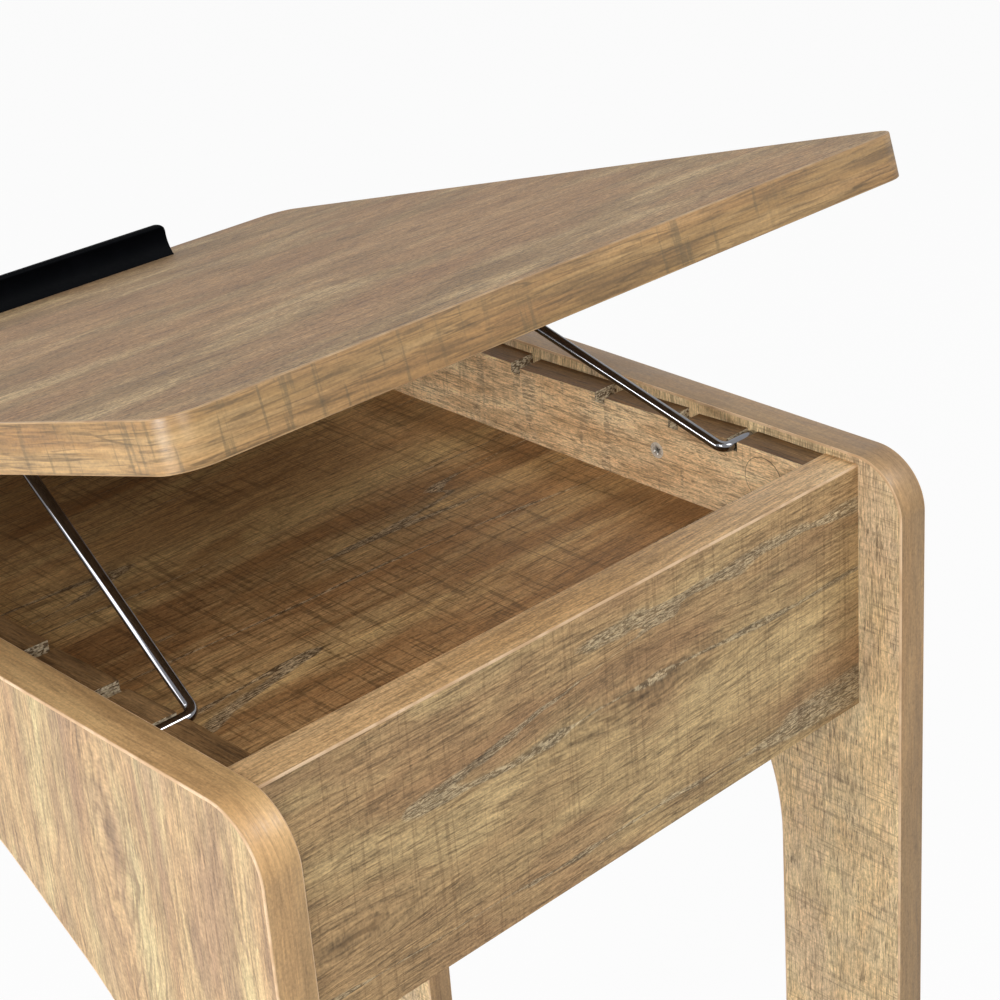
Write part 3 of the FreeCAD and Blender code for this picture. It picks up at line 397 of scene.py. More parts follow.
def bandGrain(tree, seed):  # the band's own map: along the band, then across it
    return offsetGrain(pick(tree, "ShaderNodeUVMap", uv_map="band"), seed)


oakDefaults = dict(
    light=(199, 173, 131), middle=(178, 148, 107), dark=(154, 123, 85), warm=(170, 134, 100),
    line=(104, 82, 56), ink=(98, 76, 54), pale=(206, 196, 172), deep=(92, 78, 58), cut=(96, 78, 54),
    stain=(150, 116, 84), stains=0.3, swirl=20.0, streakWidth=14.0, streakLength=9.0, lineCount=5.0,
    warmth=0.45, lines=0.3, streaks=0.35, hairs=0.7, hairWidth=0.9, hairLength=15.0, threads=0.5,
    threadSpacing=1.5, speckle=0.45, dashes=0.5, dashWidth=0.8, dashLength=6.0, dashDensity=0.0,
    saw=0.3, sawSpacing=5.0, sawWidth=0.5, sawCover=0.45, bands=0.0, scrape=0.0, bandSpacing=14.0,
    bandLevel=0.66, splits=0.0, splitWidth=0.012, splitSpacing=60.0, patches=0.0, patchCover=0.42,
    # paler is a painted highlight round a band's corner, none by default
    paler=0.0, knots=(), knotDark=0.6, roughness=0.5, specular=0.4, relief=0.00012,
)


def oakMaterial(name, coordinates, seed, **changes):
    look = {**oakDefaults, **changes}
    material, tree, shader = newMaterial(name)

    def effect(group, **more):  # a group's inputs are named as the look's values are
        labels = [item.name for item in group.interface.items_tree if item.in_out == "INPUT"]
        return place(tree, group, **{key: look[key] for key in labels if key in look}, **more)

    base = straight = coordinates(tree, seed)
    knotted = 0.0
    for along, across, size in look["knots"]:
        centre = (along + seed * printStep[0], across + seed * printStep[1], 0.0)
        flow = effect(knotGroup, vector=base, centre=centre, size=size)
        base = sideways(base, flow["shift"])
        knotted = larger(flow["mask"], knotted)
    saw = effect(sawGroup, vector=straight)
    pattern = effect(figureGroup, vector=base)
    pattern.update(effect(fibreGroup, vector=base, crowding=saw["bands"] * look["bands"]))
    pattern.update(effect(crazingGroup, vector=base))

    def share(name):  # a pattern, as strong as the look says
        return pattern[name] * look[name]

    inks = ("light", "middle", "dark", "warm", "stain", "line", "ink", "pale", "deep", "cut")
    paint = {key: tint(*look[key]) for key in inks}
    wood = mix(ramp(pattern["tone"], 0.36, 0.50), paint["dark"], paint["middle"])
    wood = mix(ramp(pattern["tone"], 0.50, 0.64), wood, paint["light"])
    wood = mix(ramp(pattern["warmth"], 0.42, 0.60) * look["warmth"], wood, paint["warm"])
    wood = mix(share("stains"), wood, paint["stain"])
    wood = mix(share("lines"), wood, paint["line"])
    if look["knots"]:
        wood = mix(knotted * look["knotDark"], wood, paint["line"])
    strands = mix(ramp(pattern["strands"], 0.44, 0.56), paint["deep"], paint["pale"])
    worn = larger(larger(share("splits"), share("patches")), saw["bands"] * look["scrape"])
    wood = mix(worn, wood, strands)
    sawn = saw["lines"] * look["saw"]
    wood = mix(sawn, wood, paint["cut"])
    pores = larger(share("dashes"), share("threads"))
    wood = mix(pores, wood, paint["ink"])
    shade = 1.0 + attribute(tree, "bent") * look["paler"]  # painted highlight: a band is lit paler round its corner
    for name in ("hairs", "speckle", "streaks"):
        shade += centred(pattern[name], 2 * look[name])
    shades = pick(tree, "ShaderNodeCombineColor", {0: shade, 1: shade, 2: shade})
    rough = look["roughness"]
    feed(shader, {
        "Base Color": mix(1.0, wood, shades, "MULTIPLY"),
        "Roughness": ramp(pattern["hairs"], 0.3, 0.7, rough - 0.07, rough + 0.09),
        "Specular IOR Level": look["specular"],
    })
    addBump(shader, pattern["hairs"] * 0.5 - larger(pores, sawn), 0.6, look["relief"])
    return material


lidTopOak = oakMaterial(
    "lidTopOak", lidGrain, 1.3,
    light=(186, 160, 122), middle=(163, 137, 103), dark=(144, 119, 89), line=(104, 80, 66),
    ink=(94, 72, 56), stain=(150, 117, 88), stains=0.5, swirl=34.0, streakWidth=30.0, streakLength=2.6,
    lineCount=4.0, warmth=0.6, streaks=0.3, hairs=1.0, hairWidth=0.8, hairLength=7.0,
    threadSpacing=1.9, speckle=0.9, dashes=0.6, dashWidth=1.0, dashLength=5.0, saw=0.0, roughness=0.55,
    specular=0.14,
)
apronOak = oakMaterial(
    "apronOak", sortedGrain("xzy"), 2.6,
    light=(190, 163, 117), middle=(174, 147, 104), dark=(158, 129, 92), warm=(170, 133, 93),
    ink=(86, 64, 40), pale=(192, 174, 140), deep=(90, 76, 56), cut=(98, 72, 48), stain=(152, 117, 82),
    stains=0.55, streakWidth=28.0, streakLength=4.0, streaks=0.22, hairs=0.85, hairWidth=0.7,
    hairLength=13.0, speckle=0.6, dashes=0.28, dashWidth=0.7, dashLength=11.0, sawSpacing=3.4,
    sawWidth=0.4, sawCover=0.58, splits=0.7, splitWidth=0.016, patches=0.3,
    knots=((26, 533, 6), (-120, 505, 5)), knotDark=0.45, specular=0.3,
)
sideLook = dict(
    light=(201, 182, 138), middle=(184, 159, 121), dark=(168, 141, 110), warm=(192, 155, 117),
    line=(128, 104, 88), ink=(124, 100, 78), pale=(206, 190, 164), deep=(118, 98, 80),
    stain=(152, 125, 106), stains=0.38, swirl=8.0, streakLength=7.5, lines=0.4, streaks=0.3,
    hairWidth=0.8, hairLength=9.0, threads=0.55, threadSpacing=1.8, dashes=0.32, dashWidth=0.9,
    saw=0.2, sawSpacing=6.0, sawCover=0.35, patches=0.2, knotDark=0.5, specular=0.3,
)
sideOak = oakMaterial(
    "sideOak", sortedGrain("zyx"), 0.7, **sideLook,
    knots=((541, -109, 7), (470, 40, 9), (200, -160, 6)),
)
outerOak = oakMaterial(
    "outerOak", sortedGrain("zyx"), 2.2, **sideLook,
    knots=((520, 96, 8), (455, -70, 7), (180, 158, 6)),
)
innerOak = oakMaterial(
    "innerOak", sortedGrain("zyx"), 3.9,
    light=(232, 207, 160), middle=(222, 197, 154), dark=(208, 183, 142), warm=(230, 194, 142),
    line=(130, 108, 88), ink=(104, 84, 62), pale=(224, 206, 180), deep=(124, 106, 88),
    cut=(138, 114, 88), stain=(206, 178, 148), stains=0.5, streakWidth=12.0, streakLength=2.0,
    lines=0.1, streaks=0.2, hairWidth=0.6, hairLength=4.0, threadSpacing=1.1, speckle=0.5, dashes=0.7,
    dashWidth=0.5, dashDensity=-0.02, saw=0.45, sawSpacing=2.6, sawWidth=0.4, sawCover=0.6, bands=0.45,
    scrape=0.15, bandSpacing=16.0, bandLevel=0.53, specular=0.3,
)
floorOak = oakMaterial(
    "floorOak", sortedGrain("xyz"), 4.1,
    light=(202, 170, 117), middle=(186, 152, 104), dark=(154, 116, 74), warm=(178, 133, 86),
    line=(92, 66, 40), ink=(82, 58, 34), pale=(196, 174, 138), deep=(78, 60, 42), cut=(88, 66, 40),
    stain=(148, 108, 66), stains=0.6, streakWidth=22.0, hairs=0.85, hairWidth=0.7, hairLength=12.0,
    threadSpacing=1.6, speckle=0.6, dashes=0.32, dashLength=9.0, saw=0.48, sawSpacing=3.0,
    sawWidth=0.4, sawCover=0.64, splits=0.9, splitWidth=0.01, splitSpacing=38.0, patches=0.5,
)
railOak = oakMaterial(
    "railOak", sortedGrain("yzx"), 5.3,
    light=(253, 226, 180), middle=(245, 214, 168), dark=(218, 184, 140), warm=(230, 188, 138),
    line=(130, 102, 76), ink=(116, 90, 66), pale=(236, 222, 194), deep=(120, 98, 76),
    cut=(112, 88, 66), stain=(206, 170, 128), stains=0.4, swirl=10.0, streakWidth=9.0,
    streakLength=4.0, streaks=0.2, hairWidth=0.7, hairLength=6.0, threads=0.55, threadSpacing=1.1,
    speckle=0.5, dashes=0.55, dashWidth=0.65, dashLength=4.0, sawSpacing=6.0, sawCover=0.5, bands=0.9,
    scrape=0.2, bandSpacing=9.0, bandLevel=0.57,
)
railTopOak = oakMaterial(
    "railTopOak", sortedGrain("yxz"), 6.4,
    light=(140, 110, 74), middle=(116, 88, 57), dark=(88, 64, 40), warm=(110, 80, 50),
    ink=(52, 38, 24), stain=(84, 62, 40), hairs=0.8, threadSpacing=1.4, dashLength=12.0, saw=0.1,
    sawSpacing=6.0, specular=0.2,
)
lidBandOak = oakMaterial(
    "lidBandOak", bandGrain, 7.2,
    light=(177, 143, 94), middle=(155, 121, 73), dark=(132, 101, 60), warm=(170, 125, 75),
    line=(96, 73, 40), ink=(100, 76, 42), cut=(96, 82, 54), stain=(146, 112, 70), swirl=10.0,
    streakWidth=7.0, streakLength=12.0, lines=0.6, streaks=0.4, hairs=0.5, threads=0.55,
    threadSpacing=2.6, speckle=0.3, dashWidth=1.0, dashLength=16.0, saw=0.5, sawSpacing=9.0,
    sawWidth=1.2, sawCover=0.55, roughness=0.36, specular=0.75, relief=0.00002,
)
stripLook = dict(
    warm=(184, 144, 98), line=(130, 100, 66), ink=(126, 98, 66), stain=(168, 133, 90), lines=0.1,
    streaks=0.15, hairs=0.4, threads=0.25, threadSpacing=1.6, speckle=0.4, dashes=0.3, dashWidth=0.9,
    dashLength=14.0, saw=0.15, sawSpacing=8.0, roughness=0.38, specular=0.5, relief=0.00006,
)
sideBandOak = oakMaterial(
    "sideBandOak", bandGrain, 8.8, **stripLook,
    # paler round the corner: a painted highlight
    light=(203, 168, 118), middle=(189, 153, 106), dark=(170, 136, 92), paler=0.42,
)
# a darker copy of the same band print, with a weaker painted corner highlight: painted shade for the far
# band
farBandOak = oakMaterial(
    "farBandOak", bandGrain, 6.1, **stripLook,
    light=(166, 136, 96), middle=(153, 124, 87), dark=(138, 110, 76), paler=0.2,
)
apronBandOak = oakMaterial(
    "apronBandOak", bandGrain, 9.9,
    light=(224, 191, 144), middle=(208, 173, 127), dark=(190, 155, 110), warm=(206, 166, 116),
    line=(140, 110, 74), ink=(130, 102, 70), stain=(182, 146, 102), speckle=0.6, dashes=0.35,
    dashLength=9.0, sawWidth=0.45, patches=0.1, roughness=0.42,
)


def easedMaterial(name, fresh, handled, fleck=(150, 118, 84)):  # the cut edge of a band beside its print
    material, tree, shader = newMaterial(name)
    base = objectGrain(tree, "xyz", 0.4)
    worn = noise(base, 0.05, 0.05, 3.0, 0.6)
    flecks = noise(base, 0.6, 0.6, 2.0, 0.6)
    edge = mix(ramp(worn, 0.38, 0.62), tint(*fresh), tint(*handled))
    edge = mix(ramp(flecks, 0.62, 0.72, 0.0, 0.4), edge, tint(*fleck))
    feed(shader, {"Base Color": edge, "Roughness": ramp(worn, 0.3, 0.7, 0.36, 0.5)})
    return material


chipLook = {
    "chip": (0.8, 0.8, 1.6),  # chips per millimetre along, across and through
    "dark": (176, 158, 128),
    "pale": (214, 198, 168),
    "bark": (104, 84, 60),
    "gap": (96, 78, 58),
    "relief": 0.4 * mm,
}


def chipMaterial(look):  # bare particle board: pressed chips, pale and dark
    material, tree, shader = newMaterial("chipboard")
    inputs = {"Vector": objectGrain(tree, "xyz", 0.9) * look["chip"], "Scale": 1.0}
    chips = add(tree, "ShaderNodeTexVoronoi", inputs).outputs
    middle = Value(tree, chips["Distance"])
    parts = add(tree, "ShaderNodeSeparateXYZ", {0: Value(tree, chips["Color"])}).outputs
    paleness, bark, gloss = (Value(tree, part) for part in parts)
    board = mix(paleness, tint(*look["dark"]), tint(*look["pale"]))
    board = mix(ramp(bark, 0.72, 0.8), board, tint(*look["bark"]))
    board = mix(ramp(middle, 0.45, 0.75, 0.0, 0.6), board, tint(*look["gap"]))
    feed(shader, {"Base Color": board, "Roughness": ramp(gloss, 0.0, 1.0, 0.75, 0.92)})
    addBump(shader, middle, 0.8, look["relief"])
    return material


# the colour of painted shade in the recess and on the head of a fitting
recessDark = (38, 34, 30)


def metalMaterial(name, bright, dull, roughness, metallic=1.0, brush=(0.4, 0.4), relief=0.00002):
    material, tree, shader = newMaterial(name)
    base = objectGrain(tree, "xyz", 0.2)
    cloud = noise(base, 0.06, 0.06, 3.0, 0.6)
    lines = noise(base, *brush, 3.0, 0.7)
    metal = mix(ramp(cloud, 0.35, 0.65), tint(*bright), tint(*dull))
    gap = ramp(attribute(tree, "sunk"), 0.1, 0.8, 0.0, 0.85)  # painted shade: the recess of a screw, the middle of its head and its sides are darkened
    feed(shader, {
        "Base Color": mix(gap, metal, tint(*recessDark)),
        "Roughness": ramp(lines, 0.3, 0.7, roughness * 0.8, roughness * 1.3),
        "Metallic": metallic,
    })
    addBump(shader, lines, 0.3, relief)
    return material


def mouldedMaterial(name, body, dust, roughness, grainSize=0.5, relief=0.00004, specular=0.4):
    material, tree, shader = newMaterial(name)
    base = objectGrain(tree, "xyz", 0.6)
    texture = noise(base, 1 / grainSize, 1 / grainSize, 2.0, 0.6)
    settled = noise(base, 0.08, 0.08, 3.0, 0.6)
    feed(shader, {
        "Base Color": mix(ramp(settled, 0.45, 0.7), tint(*body), tint(*dust)),
        "Roughness": ramp(texture, 0.3, 0.7, roughness - 0.06, roughness + 0.08),
        "Specular IOR Level": specular,
    })
    addBump(shader, texture, 0.5, relief)
    return material


easedEdge = easedMaterial("easedEdge", (226, 194, 156), (200, 164, 124))
lidEdge = easedMaterial("lidEdge", (182, 148, 104), (156, 122, 82))
chipboard = chipMaterial(chipLook)
blackChrome = metalMaterial(
    "blackChrome", (126, 126, 130), (116, 116, 120), 0.06, brush=(0.3, 0.3), relief=0.000004
)
brightNickel = metalMaterial("brightNickel", (246, 242, 232), (226, 222, 210), 0.28, metallic=0.5)
zincCast = metalMaterial(
    "zincCast", (186, 186, 182), (150, 150, 146), 0.42, brush=(2.0, 2.0), relief=0.00006
)
hingeSteel = metalMaterial("hingeSteel", (176, 172, 164), (140, 136, 128), 0.34, brush=(0.1, 3.0))
ledgeBlack = mouldedMaterial("ledgeBlack", (1, 2, 4), (3, 4, 7), 0.5, specular=0.03)
glidePlastic = mouldedMaterial("glidePlastic", (40, 36, 33), (58, 52, 46), 0.5)
bumperRubber = mouldedMaterial("bumperRubber", (34, 33, 32), (50, 48, 45), 0.62, 0.3)
beechWood = oakMaterial(
    "beechWood", sortedGrain("xyz"), 3.3,
    light=(232, 202, 158), middle=(222, 188, 142), dark=(200, 162, 118), warm=(226, 186, 138),
    hairs=0.3, threads=0.45, threadSpacing=2.4, dashWidth=1.3, dashLength=2.0, saw=0.0, roughness=0.7,
)


def coverFilm(printed, cut):  # printed film with a dark line of painted shade round its edge
    material = printed.copy()
    material.name = "coverFilm"
    tree = material.node_tree
    shader = next(node for node in tree.nodes if node.type == "BSDF_PRINCIPLED")
    wood = Value(tree, shader.inputs["Base Color"].links[0].from_socket)
    feed(shader, {"Base Color": mix(attribute(tree, "rim") * 0.75, wood, tint(*cut))})
    return material


# the dark colour is painted shade round the edge of a cam cover
printedFilm = coverFilm(railOak, (66, 50, 38))
print("materials built")


# meshes

mesher = {
    "mergeWithin": 0.002 * mm,  # points nearer than this are one
    "flatBelow": math.radians(0.4),  # faces that meet flatter than this are one
    "sharpAbove": math.radians(35),
}


def newPiece(name, mesh, materials, body, slot, *replaced):
    for material in materials:
        if material.name not in mesh.materials:
            mesh.materials.append(material)
    item = newObject(name, mesh)
    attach(item, body)
    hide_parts(*replaced)
    return item


def mergedCopy(node, flatten=True):
    grown = bmesh.new()
    grown.from_mesh(frame["nodes"][node].data)
    bmesh.ops.remove_doubles(grown, verts=grown.verts, dist=mesher["mergeWithin"])
    if flatten:
        flat = mesher["flatBelow"]
        bmesh.ops.dissolve_limit(grown, angle_limit=flat, verts=grown.verts, edges=grown.edges)
    return grown


def setSmooth(mesh, sharpAngle):
    mesh.polygons.foreach_set("use_smooth", [True] * len(mesh.polygons))
    mesh.set_sharp_from_angle(angle=math.radians(sharpAngle))
    return mesh


def toMesh(grown, name, sharpAngle=35):
    mesh = bpy.data.meshes.new(name)
    grown.to_mesh(mesh)
    grown.free()
    return setSmooth(mesh, sharpAngle)


def addBevel(item, width):
    bevel = item.modifiers.new("ease", "BEVEL")
    bevel.width = width
    bevel.segments = 2
    bevel.limit_method = "ANGLE"
    bevel.angle_limit = mesher["sharpAbove"]
    bevel.harden_normals = True
    bevel.use_clamp_overlap = True


def islands(node):  # the separate solids of a node, as lists of points
    grown = mergedCopy(node, flatten=False)
    left = dict.fromkeys(grown.verts)  # a dictionary keeps its order, so every run gives the same
    found = []
    while left:
        todo = [next(iter(left))]
        del left[todo[0]]
        points = []
        while todo:
            at = todo.pop()
            points.append(at.co.copy())
            for edge in at.link_edges:
                other = edge.other_vert(at)
                if other in left:
                    del left[other]
                    todo.append(other)
        found.append(points)
    grown.free()
    return found


def ringed(grown, circles):  # faces between one ring of points and the next
    for inner, outer in zip(circles, circles[1:]):
        for part in range(len(inner)):
            after = (part + 1) % len(inner)
            grown.faces.new((inner[part], outer[part], outer[after], inner[after]))


def roundWay(radius, parts):  # points round a circle
    turns = (2 * math.pi * part / parts for part in range(parts))
    return [(radius * math.cos(turn), radius * math.sin(turn)) for turn in turns]


# bands: a section swept along a traced outline

def trace(start, heading, moves, step=4.0):
    # moves are (length, radius, degrees); a turn to the right is positive
    at, angle = Vector(start), math.radians(heading)
    points = [(at.copy(), angle, 0.0)]
    for length, radius, degrees in moves:
        if length > 0:
            at = at + Vector((math.cos(angle), math.sin(angle))) * length
            points.append((at.copy(), angle, 0.0))
        if degrees:
            side = 1 if degrees > 0 else -1
            parts = max(1, round(abs(degrees) / step))
            centre = at + Vector((math.sin(angle), -math.cos(angle))) * radius * side
            begun = angle
            for index in range(1, parts + 1):
                angle = begun - math.radians(degrees) * index / parts
                at = centre + Vector((-math.sin(angle), math.cos(angle))) * radius * side
                points.append((at.copy(), angle, math.sin(math.pi * index / parts)))
    return points


bandShape = {
    "thick": 1.0 * mm,
    "ease": 0.45 * mm,
    "easeParts": 4,
    "sideCorner": 23.0 * mm,
    "lidCorner": 13.0 * mm,
    "legWidth": 64.3 * mm,
    "archSpring": 387.7 * mm,
    "archSide": 108.0 * mm,
    "archSlope": 32.8,
    "archCrown": 78.0 * mm,
    "narrowest": 3 * mm,  # a narrower strip of the section is its cut edge
}


def bandSection(width):
    # from the board, round one eased edge, over the face and round the other: across, depth
    thick, ease, parts = (bandShape[key] for key in ("thick", "ease", "easeParts"))
    turns = [math.pi / 2 * index / parts for index in range(parts + 1)]
    points = [(0, -thick)]
    points += [(ease * (1 - math.cos(turn)), -ease * (1 - math.sin(turn))) for turn in turns]
    points.append((width - ease, 0))
    points += [(width - ease * (1 - math.sin(turn)), -ease * (1 - math.cos(turn))) for turn in turns[1:]]
    points.append((width, -thick))
    return points


def sweepBand(grown, path, section, toSpace, outward, closed):
    # path points lie on the outside of the band; outward is 1 if that is to the left of the path
    layer = grown.loops.layers.uv.get("band") or grown.loops.layers.uv.new("band")
    bent = grown.verts.layers.float.get("bent") or grown.verts.layers.float.new("bent")
    rings, along, run = [], [], 0.0
    for index, (at, angle, bend) in enumerate(path):
        if index:
            run += (at - path[index - 1][0]).length
        normal = Vector((-math.sin(angle), math.cos(angle))) * outward
        ring = [grown.verts.new(toSpace(at + normal * depth, across)) for across, depth in section]
        for vertex in ring:
            vertex[bent] = bend
        rings.append(ring)
        along.append(run)
    across = [0.0]
    for first, second in zip(section, section[1:]):
        across.append(across[-1] + math.hypot(second[0] - first[0], second[1] - first[1]))
    count = len(section)
    total = len(rings)
    for index in range(total if closed else total - 1):
        after = (index + 1) % total
        reach = along[after] if after else run + (path[0][0] - path[-1][0]).length
        for part in range(count):
            follow = (part + 1) % count
            quad = [rings[index][part], rings[after][part], rings[after][follow], rings[index][follow]]
            face = grown.faces.new(quad)
            near, far = across[part], across[follow] if follow else across[part]
            corners = ((along[index], near), (reach, near), (reach, far), (along[index], far))
            for loop, corner in zip(face.loops, corners):
                loop[layer].uv = corner
            wide = abs(section[part][0] - section[follow][0]) > bandShape["narrowest"]
            face.material_index = 0 if wide and follow else 1
    if not closed:
        for ring in (rings[0], rings[-1]):
            grown.faces.new(ring).material_index = 1


def newBand(name, node, body, materials, width, toSpace, *paths):
    # each path comes with its outward side, and whether it is closed
    grown = bmesh.new()
    for path, outward, closed in paths:
        sweepBand(grown, path, bandSection(width), toSpace, outward, closed)
    bmesh.ops.recalc_face_normals(grown, faces=grown.faces)
    newPiece(name, toMesh(grown, name, sharpAngle=50), materials, body, "oak_edge_band", node)


def sideBands(side, strip, values):
    node = side + "_side_edge_bands"
    low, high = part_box(node)
    corner, leg, bend = values["sideCorner"], values["legWidth"], values["archSide"]
    upright = high[2] - low[2] - corner
    moves = [(upright, corner, 90), (high[1] - low[1] - 2 * corner, corner, 90), (upright, 0, 0)]
    outer = trace((low[1], low[2]), 90, moves)
    slope = math.radians(values["archSlope"])
    turn = 90 - values["archSlope"]
    half = (high[1] - low[1]) / 2 - leg - bend * (1 - math.cos(math.radians(turn)))
    run = (half - values["archCrown"] * math.sin(slope)) / math.cos(slope)
    rise = values["archSpring"] - low[2]
    crown = (run, values["archCrown"], 2 * values["archSlope"])
    arch = trace((low[1] + leg, low[2]), 90, [(rise, bend, turn), crown, (run, bend, turn), (rise, 0, 0)])
    newBand(side + "SideBands", node, "frame", [strip, easedEdge], high[0] - low[0],
            lambda at, across: Vector((low[0] + across, at.x, at.y)),
            (outer, 1, False), (arch, -1, False))


sideBands("left", sideBandOak, bandShape)
sideBands("right", farBandOak, bandShape)


def lidBand(values):
    node = "lid_edge_band"
    points = [toShut @ vertex.co for vertex in frame["nodes"][node].data.vertices]
    low = Vector([min(point[axis] for point in points) for axis in range(3)])
    high = Vector([max(point[axis] for point in points) for axis in range(3)])
    corner = values["lidCorner"]
    wide, deep = high.x - low.x - 2 * corner, high.y - low.y - 2 * corner
    # the strip starts and ends at the middle of the hinge side
    moves = [(length, corner, 90) for length in (wide / 2, deep, wide, deep)] + [(wide / 2, 0, 0)]
    path = trace((0, high.y), 0, moves)[:-1]
    newBand("lidBand", node, "lid", [lidBandOak, lidEdge], high.z - low.z,
            lambda at, across: toRest @ Vector((at.x, at.y, low.z + across)), (path, 1, True))


lidBand(bandShape)


def apronBand(end):
    node = end + "_apron_edge_band"
    low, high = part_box(node)
    path = trace((low[0], high[2]), 0, [((high[0] - low[0]) / 4, 0, 0)] * 4)
    newBand(end + "ApronBand", node, "frame", [apronBandOak, easedEdge], high[1] - low[1],
            lambda at, across: Vector((at.x, low[1] + across, at.y)), (path, 1, False))


apronBand("rear")
apronBand("front")
print("bands swept")


# boards that stay as they are, with their printed foil

boards = {  # the print of each board
    "left_side_panel": sideOak,
    "rear_apron": apronOak,
    "front_apron": apronOak,
    "compartment_floor": floorOak,
    "lid_panel": lidTopOak,
    "dowels": beechWood,
    "cam_bolts": zincCast,
}
for node, material in boards.items():
    data = frame["nodes"][node].data
    data.materials.clear()
    data.materials.append(material)


def paintedCopy(name, node, slot, materials, choose):  # choose says which material a face gets
    grown = mergedCopy(node)
    for face in grown.faces:
        face.normal_update()
        face.material_index = choose(face.normal, face.calc_center_median())
    return newPiece(name, toMesh(grown, name, sharpAngle=20), materials, "frame", slot, node)


def outerFace(normal, middle):  # the outer face has another print than the inner one
    return 1 if normal.x > 0.9 else 0


paintedCopy("rightPanel", "right_side_panel", "oak_laminate", [innerOak, outerOak], outerFace)

notchedRails = {
    "endMargin": 4 * mm,  # the ends of a rail keep their print
    "notchDrop": 2.5 * mm,  # a face this far below the top is the floor of a notch
    "ease": 0.25 * mm,
}


def notchedRail(side, values):  # printed faces, a dark top edge and bare board in the notches
    node = side + "_notched_rail"
    low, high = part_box(node)
    start, end = low[1] + values["endMargin"], high[1] - values["endMargin"]

    def choose(normal, middle):
        level = normal.z > 0.5
        notchWall = abs(normal.y) > 0.5 and start < middle.y < end
        if notchWall or (level and middle.z < high[2] - values["notchDrop"]):
            return 2
        return 1 if level else 0

    materials = [railOak, railTopOak, chipboard]
    item = paintedCopy(side + "NotchedRail", node, "pale_oak_laminate", materials, choose)
    addBevel(item, values["ease"])


for side in ("left", "right"):
    notchedRail(side, notchedRails)
print("boards covered")


# hardware

hardware = {  # CAD node: piece, material, body, slot, width of its eased edges
    "hinge_fixed_leaves": ("hingeFixedLeaves", hingeSteel, "frame", "hinge_steel", 0.25 * mm),
    "hinge_moving_leaves": ("hingeMovingLeaves", hingeSteel, "lid", "hinge_steel", 0.25 * mm),
    "hinge_pins": ("hingePins", hingeSteel, "frame", "hinge_steel", 0.3 * mm),
    "wire_clips": ("wireClips", hingeSteel, "lid", "hinge_steel", 0.2 * mm),
    "lid_bumpers": ("lidBumpers", bumperRubber, "lid", "bumper_rubber", 0.7 * mm),
    "foot_glides": ("footGlides", glidePlastic, "frame", "glide_plastic", 0.6 * mm),
    "ledge": ("ledge", ledgeBlack, "lid", "black_metal", 0.35 * mm),
}
for node, (name, material, body, slot, ease) in hardware.items():
    addBevel(newPiece(name, toMesh(mergedCopy(node), name), [material], body, slot, node), ease)
print("hardware dressed")


# what Geometry Nodes make: the bent wire, and fittings set out where the CAD has them

def finishShape(shape, finish):
    solid = pick(shape.tree, "GeometryNodeRealizeInstances", {0: shape})
    inputs = {"Geometry": solid, "Material": finish}
    return {"geometry": pick(shape.tree, "GeometryNodeSetMaterial", inputs)}


def runTree(name, mesh, tree, values):  # the tree's result as a plain mesh
    source = newObject(name + "Source", mesh)
    modifier = source.modifiers.new("nodes", "NODES")
    modifier.node_group = tree
    for item in tree.interface.items_tree:
        if item.in_out == "INPUT" and item.name in values:
            modifier[item.identifier] = values[item.name]
    graph = bpy.context.evaluated_depsgraph_get()
    ready = source.evaluated_get(graph)
    result = bpy.data.meshes.new_from_object(ready, preserve_all_data_layers=True, depsgraph=graph)
    result.name = name
    source.modifiers.remove(modifier)
    bpy.data.objects.remove(source)
    return result


def pointMesh(name, points, edges, label, kind, values):  # points that carry one attribute
    mesh = bpy.data.meshes.new(name)
    mesh.from_pydata(points, edges, [])
    field = "vector" if kind == "FLOAT_VECTOR" else "value"
    mesh.attributes.new(label, kind, "POINT").data.foreach_set(field, values)
    return mesh


def bentRod(geometry, radius, roundParts, arcParts, finish):
    tree = geometry.tree
    curve = pick(tree, "GeometryNodeMeshToCurve", {0: geometry})
    bend = pick(tree, "GeometryNodeInputNamedAttribute", {"Name": "bend"}, data_type="FLOAT")
    fillet = {"Curve": curve, "Radius": bend, "Count": arcParts}
    filleted = pick(tree, "GeometryNodeFilletCurve", fillet, mode="POLY")
    circle = {"Resolution": roundParts, "Radius": radius}
    ring = pick(tree, "GeometryNodeCurvePrimitiveCircle", circle, "Curve")
    swept = {"Curve": filleted, "Profile Curve": ring, "Fill Caps": True}
    return finishShape(pick(tree, "GeometryNodeCurveToMesh", swept), finish)


wireShape = {
    "radius": 2.25 * mm,
    "barHalf": 105.3 * mm,
    "barBend": 10.0 * mm,
    "footHalf": 128.5 * mm,
    "footBend": 4.5 * mm,
    "arcParts": 14,
    "roundParts": 28,
}


def supportWire(values):
    bar = Vector(joints["wire_fold"]["pos_m"])
    low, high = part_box("support_wire_feet")
    foot = Vector((0, low[1] + values["radius"], low[2] + values["radius"]))
    half = [(high[0], foot, 0), (values["footHalf"], foot, values["footBend"]),
            (values["barHalf"], bar, values["barBend"])]
    left = [(Vector((-x, at.y, at.z)), bend) for x, at, bend in half]
    right = [(Vector((x, at.y, at.z)), bend) for x, at, bend in reversed(half)]
    points, bends = zip(*left, *right)
    edges = [(index, index + 1) for index in range(len(points) - 1)]
    mesh = pointMesh("wireLine", points, edges, "bend", "FLOAT", bends)
    tree = newGroup(bentRod, "GeometryNodeTree")
    result = runTree("supportWire", mesh, tree, {**values, "finish": blackChrome})
    newPiece("supportWire", setSmooth(result, sharpAngle=50), [blackChrome], "support", "dark_chrome",
             "support_wire", "support_wire_feet")


supportWire(wireShape)
print("support wire bent")


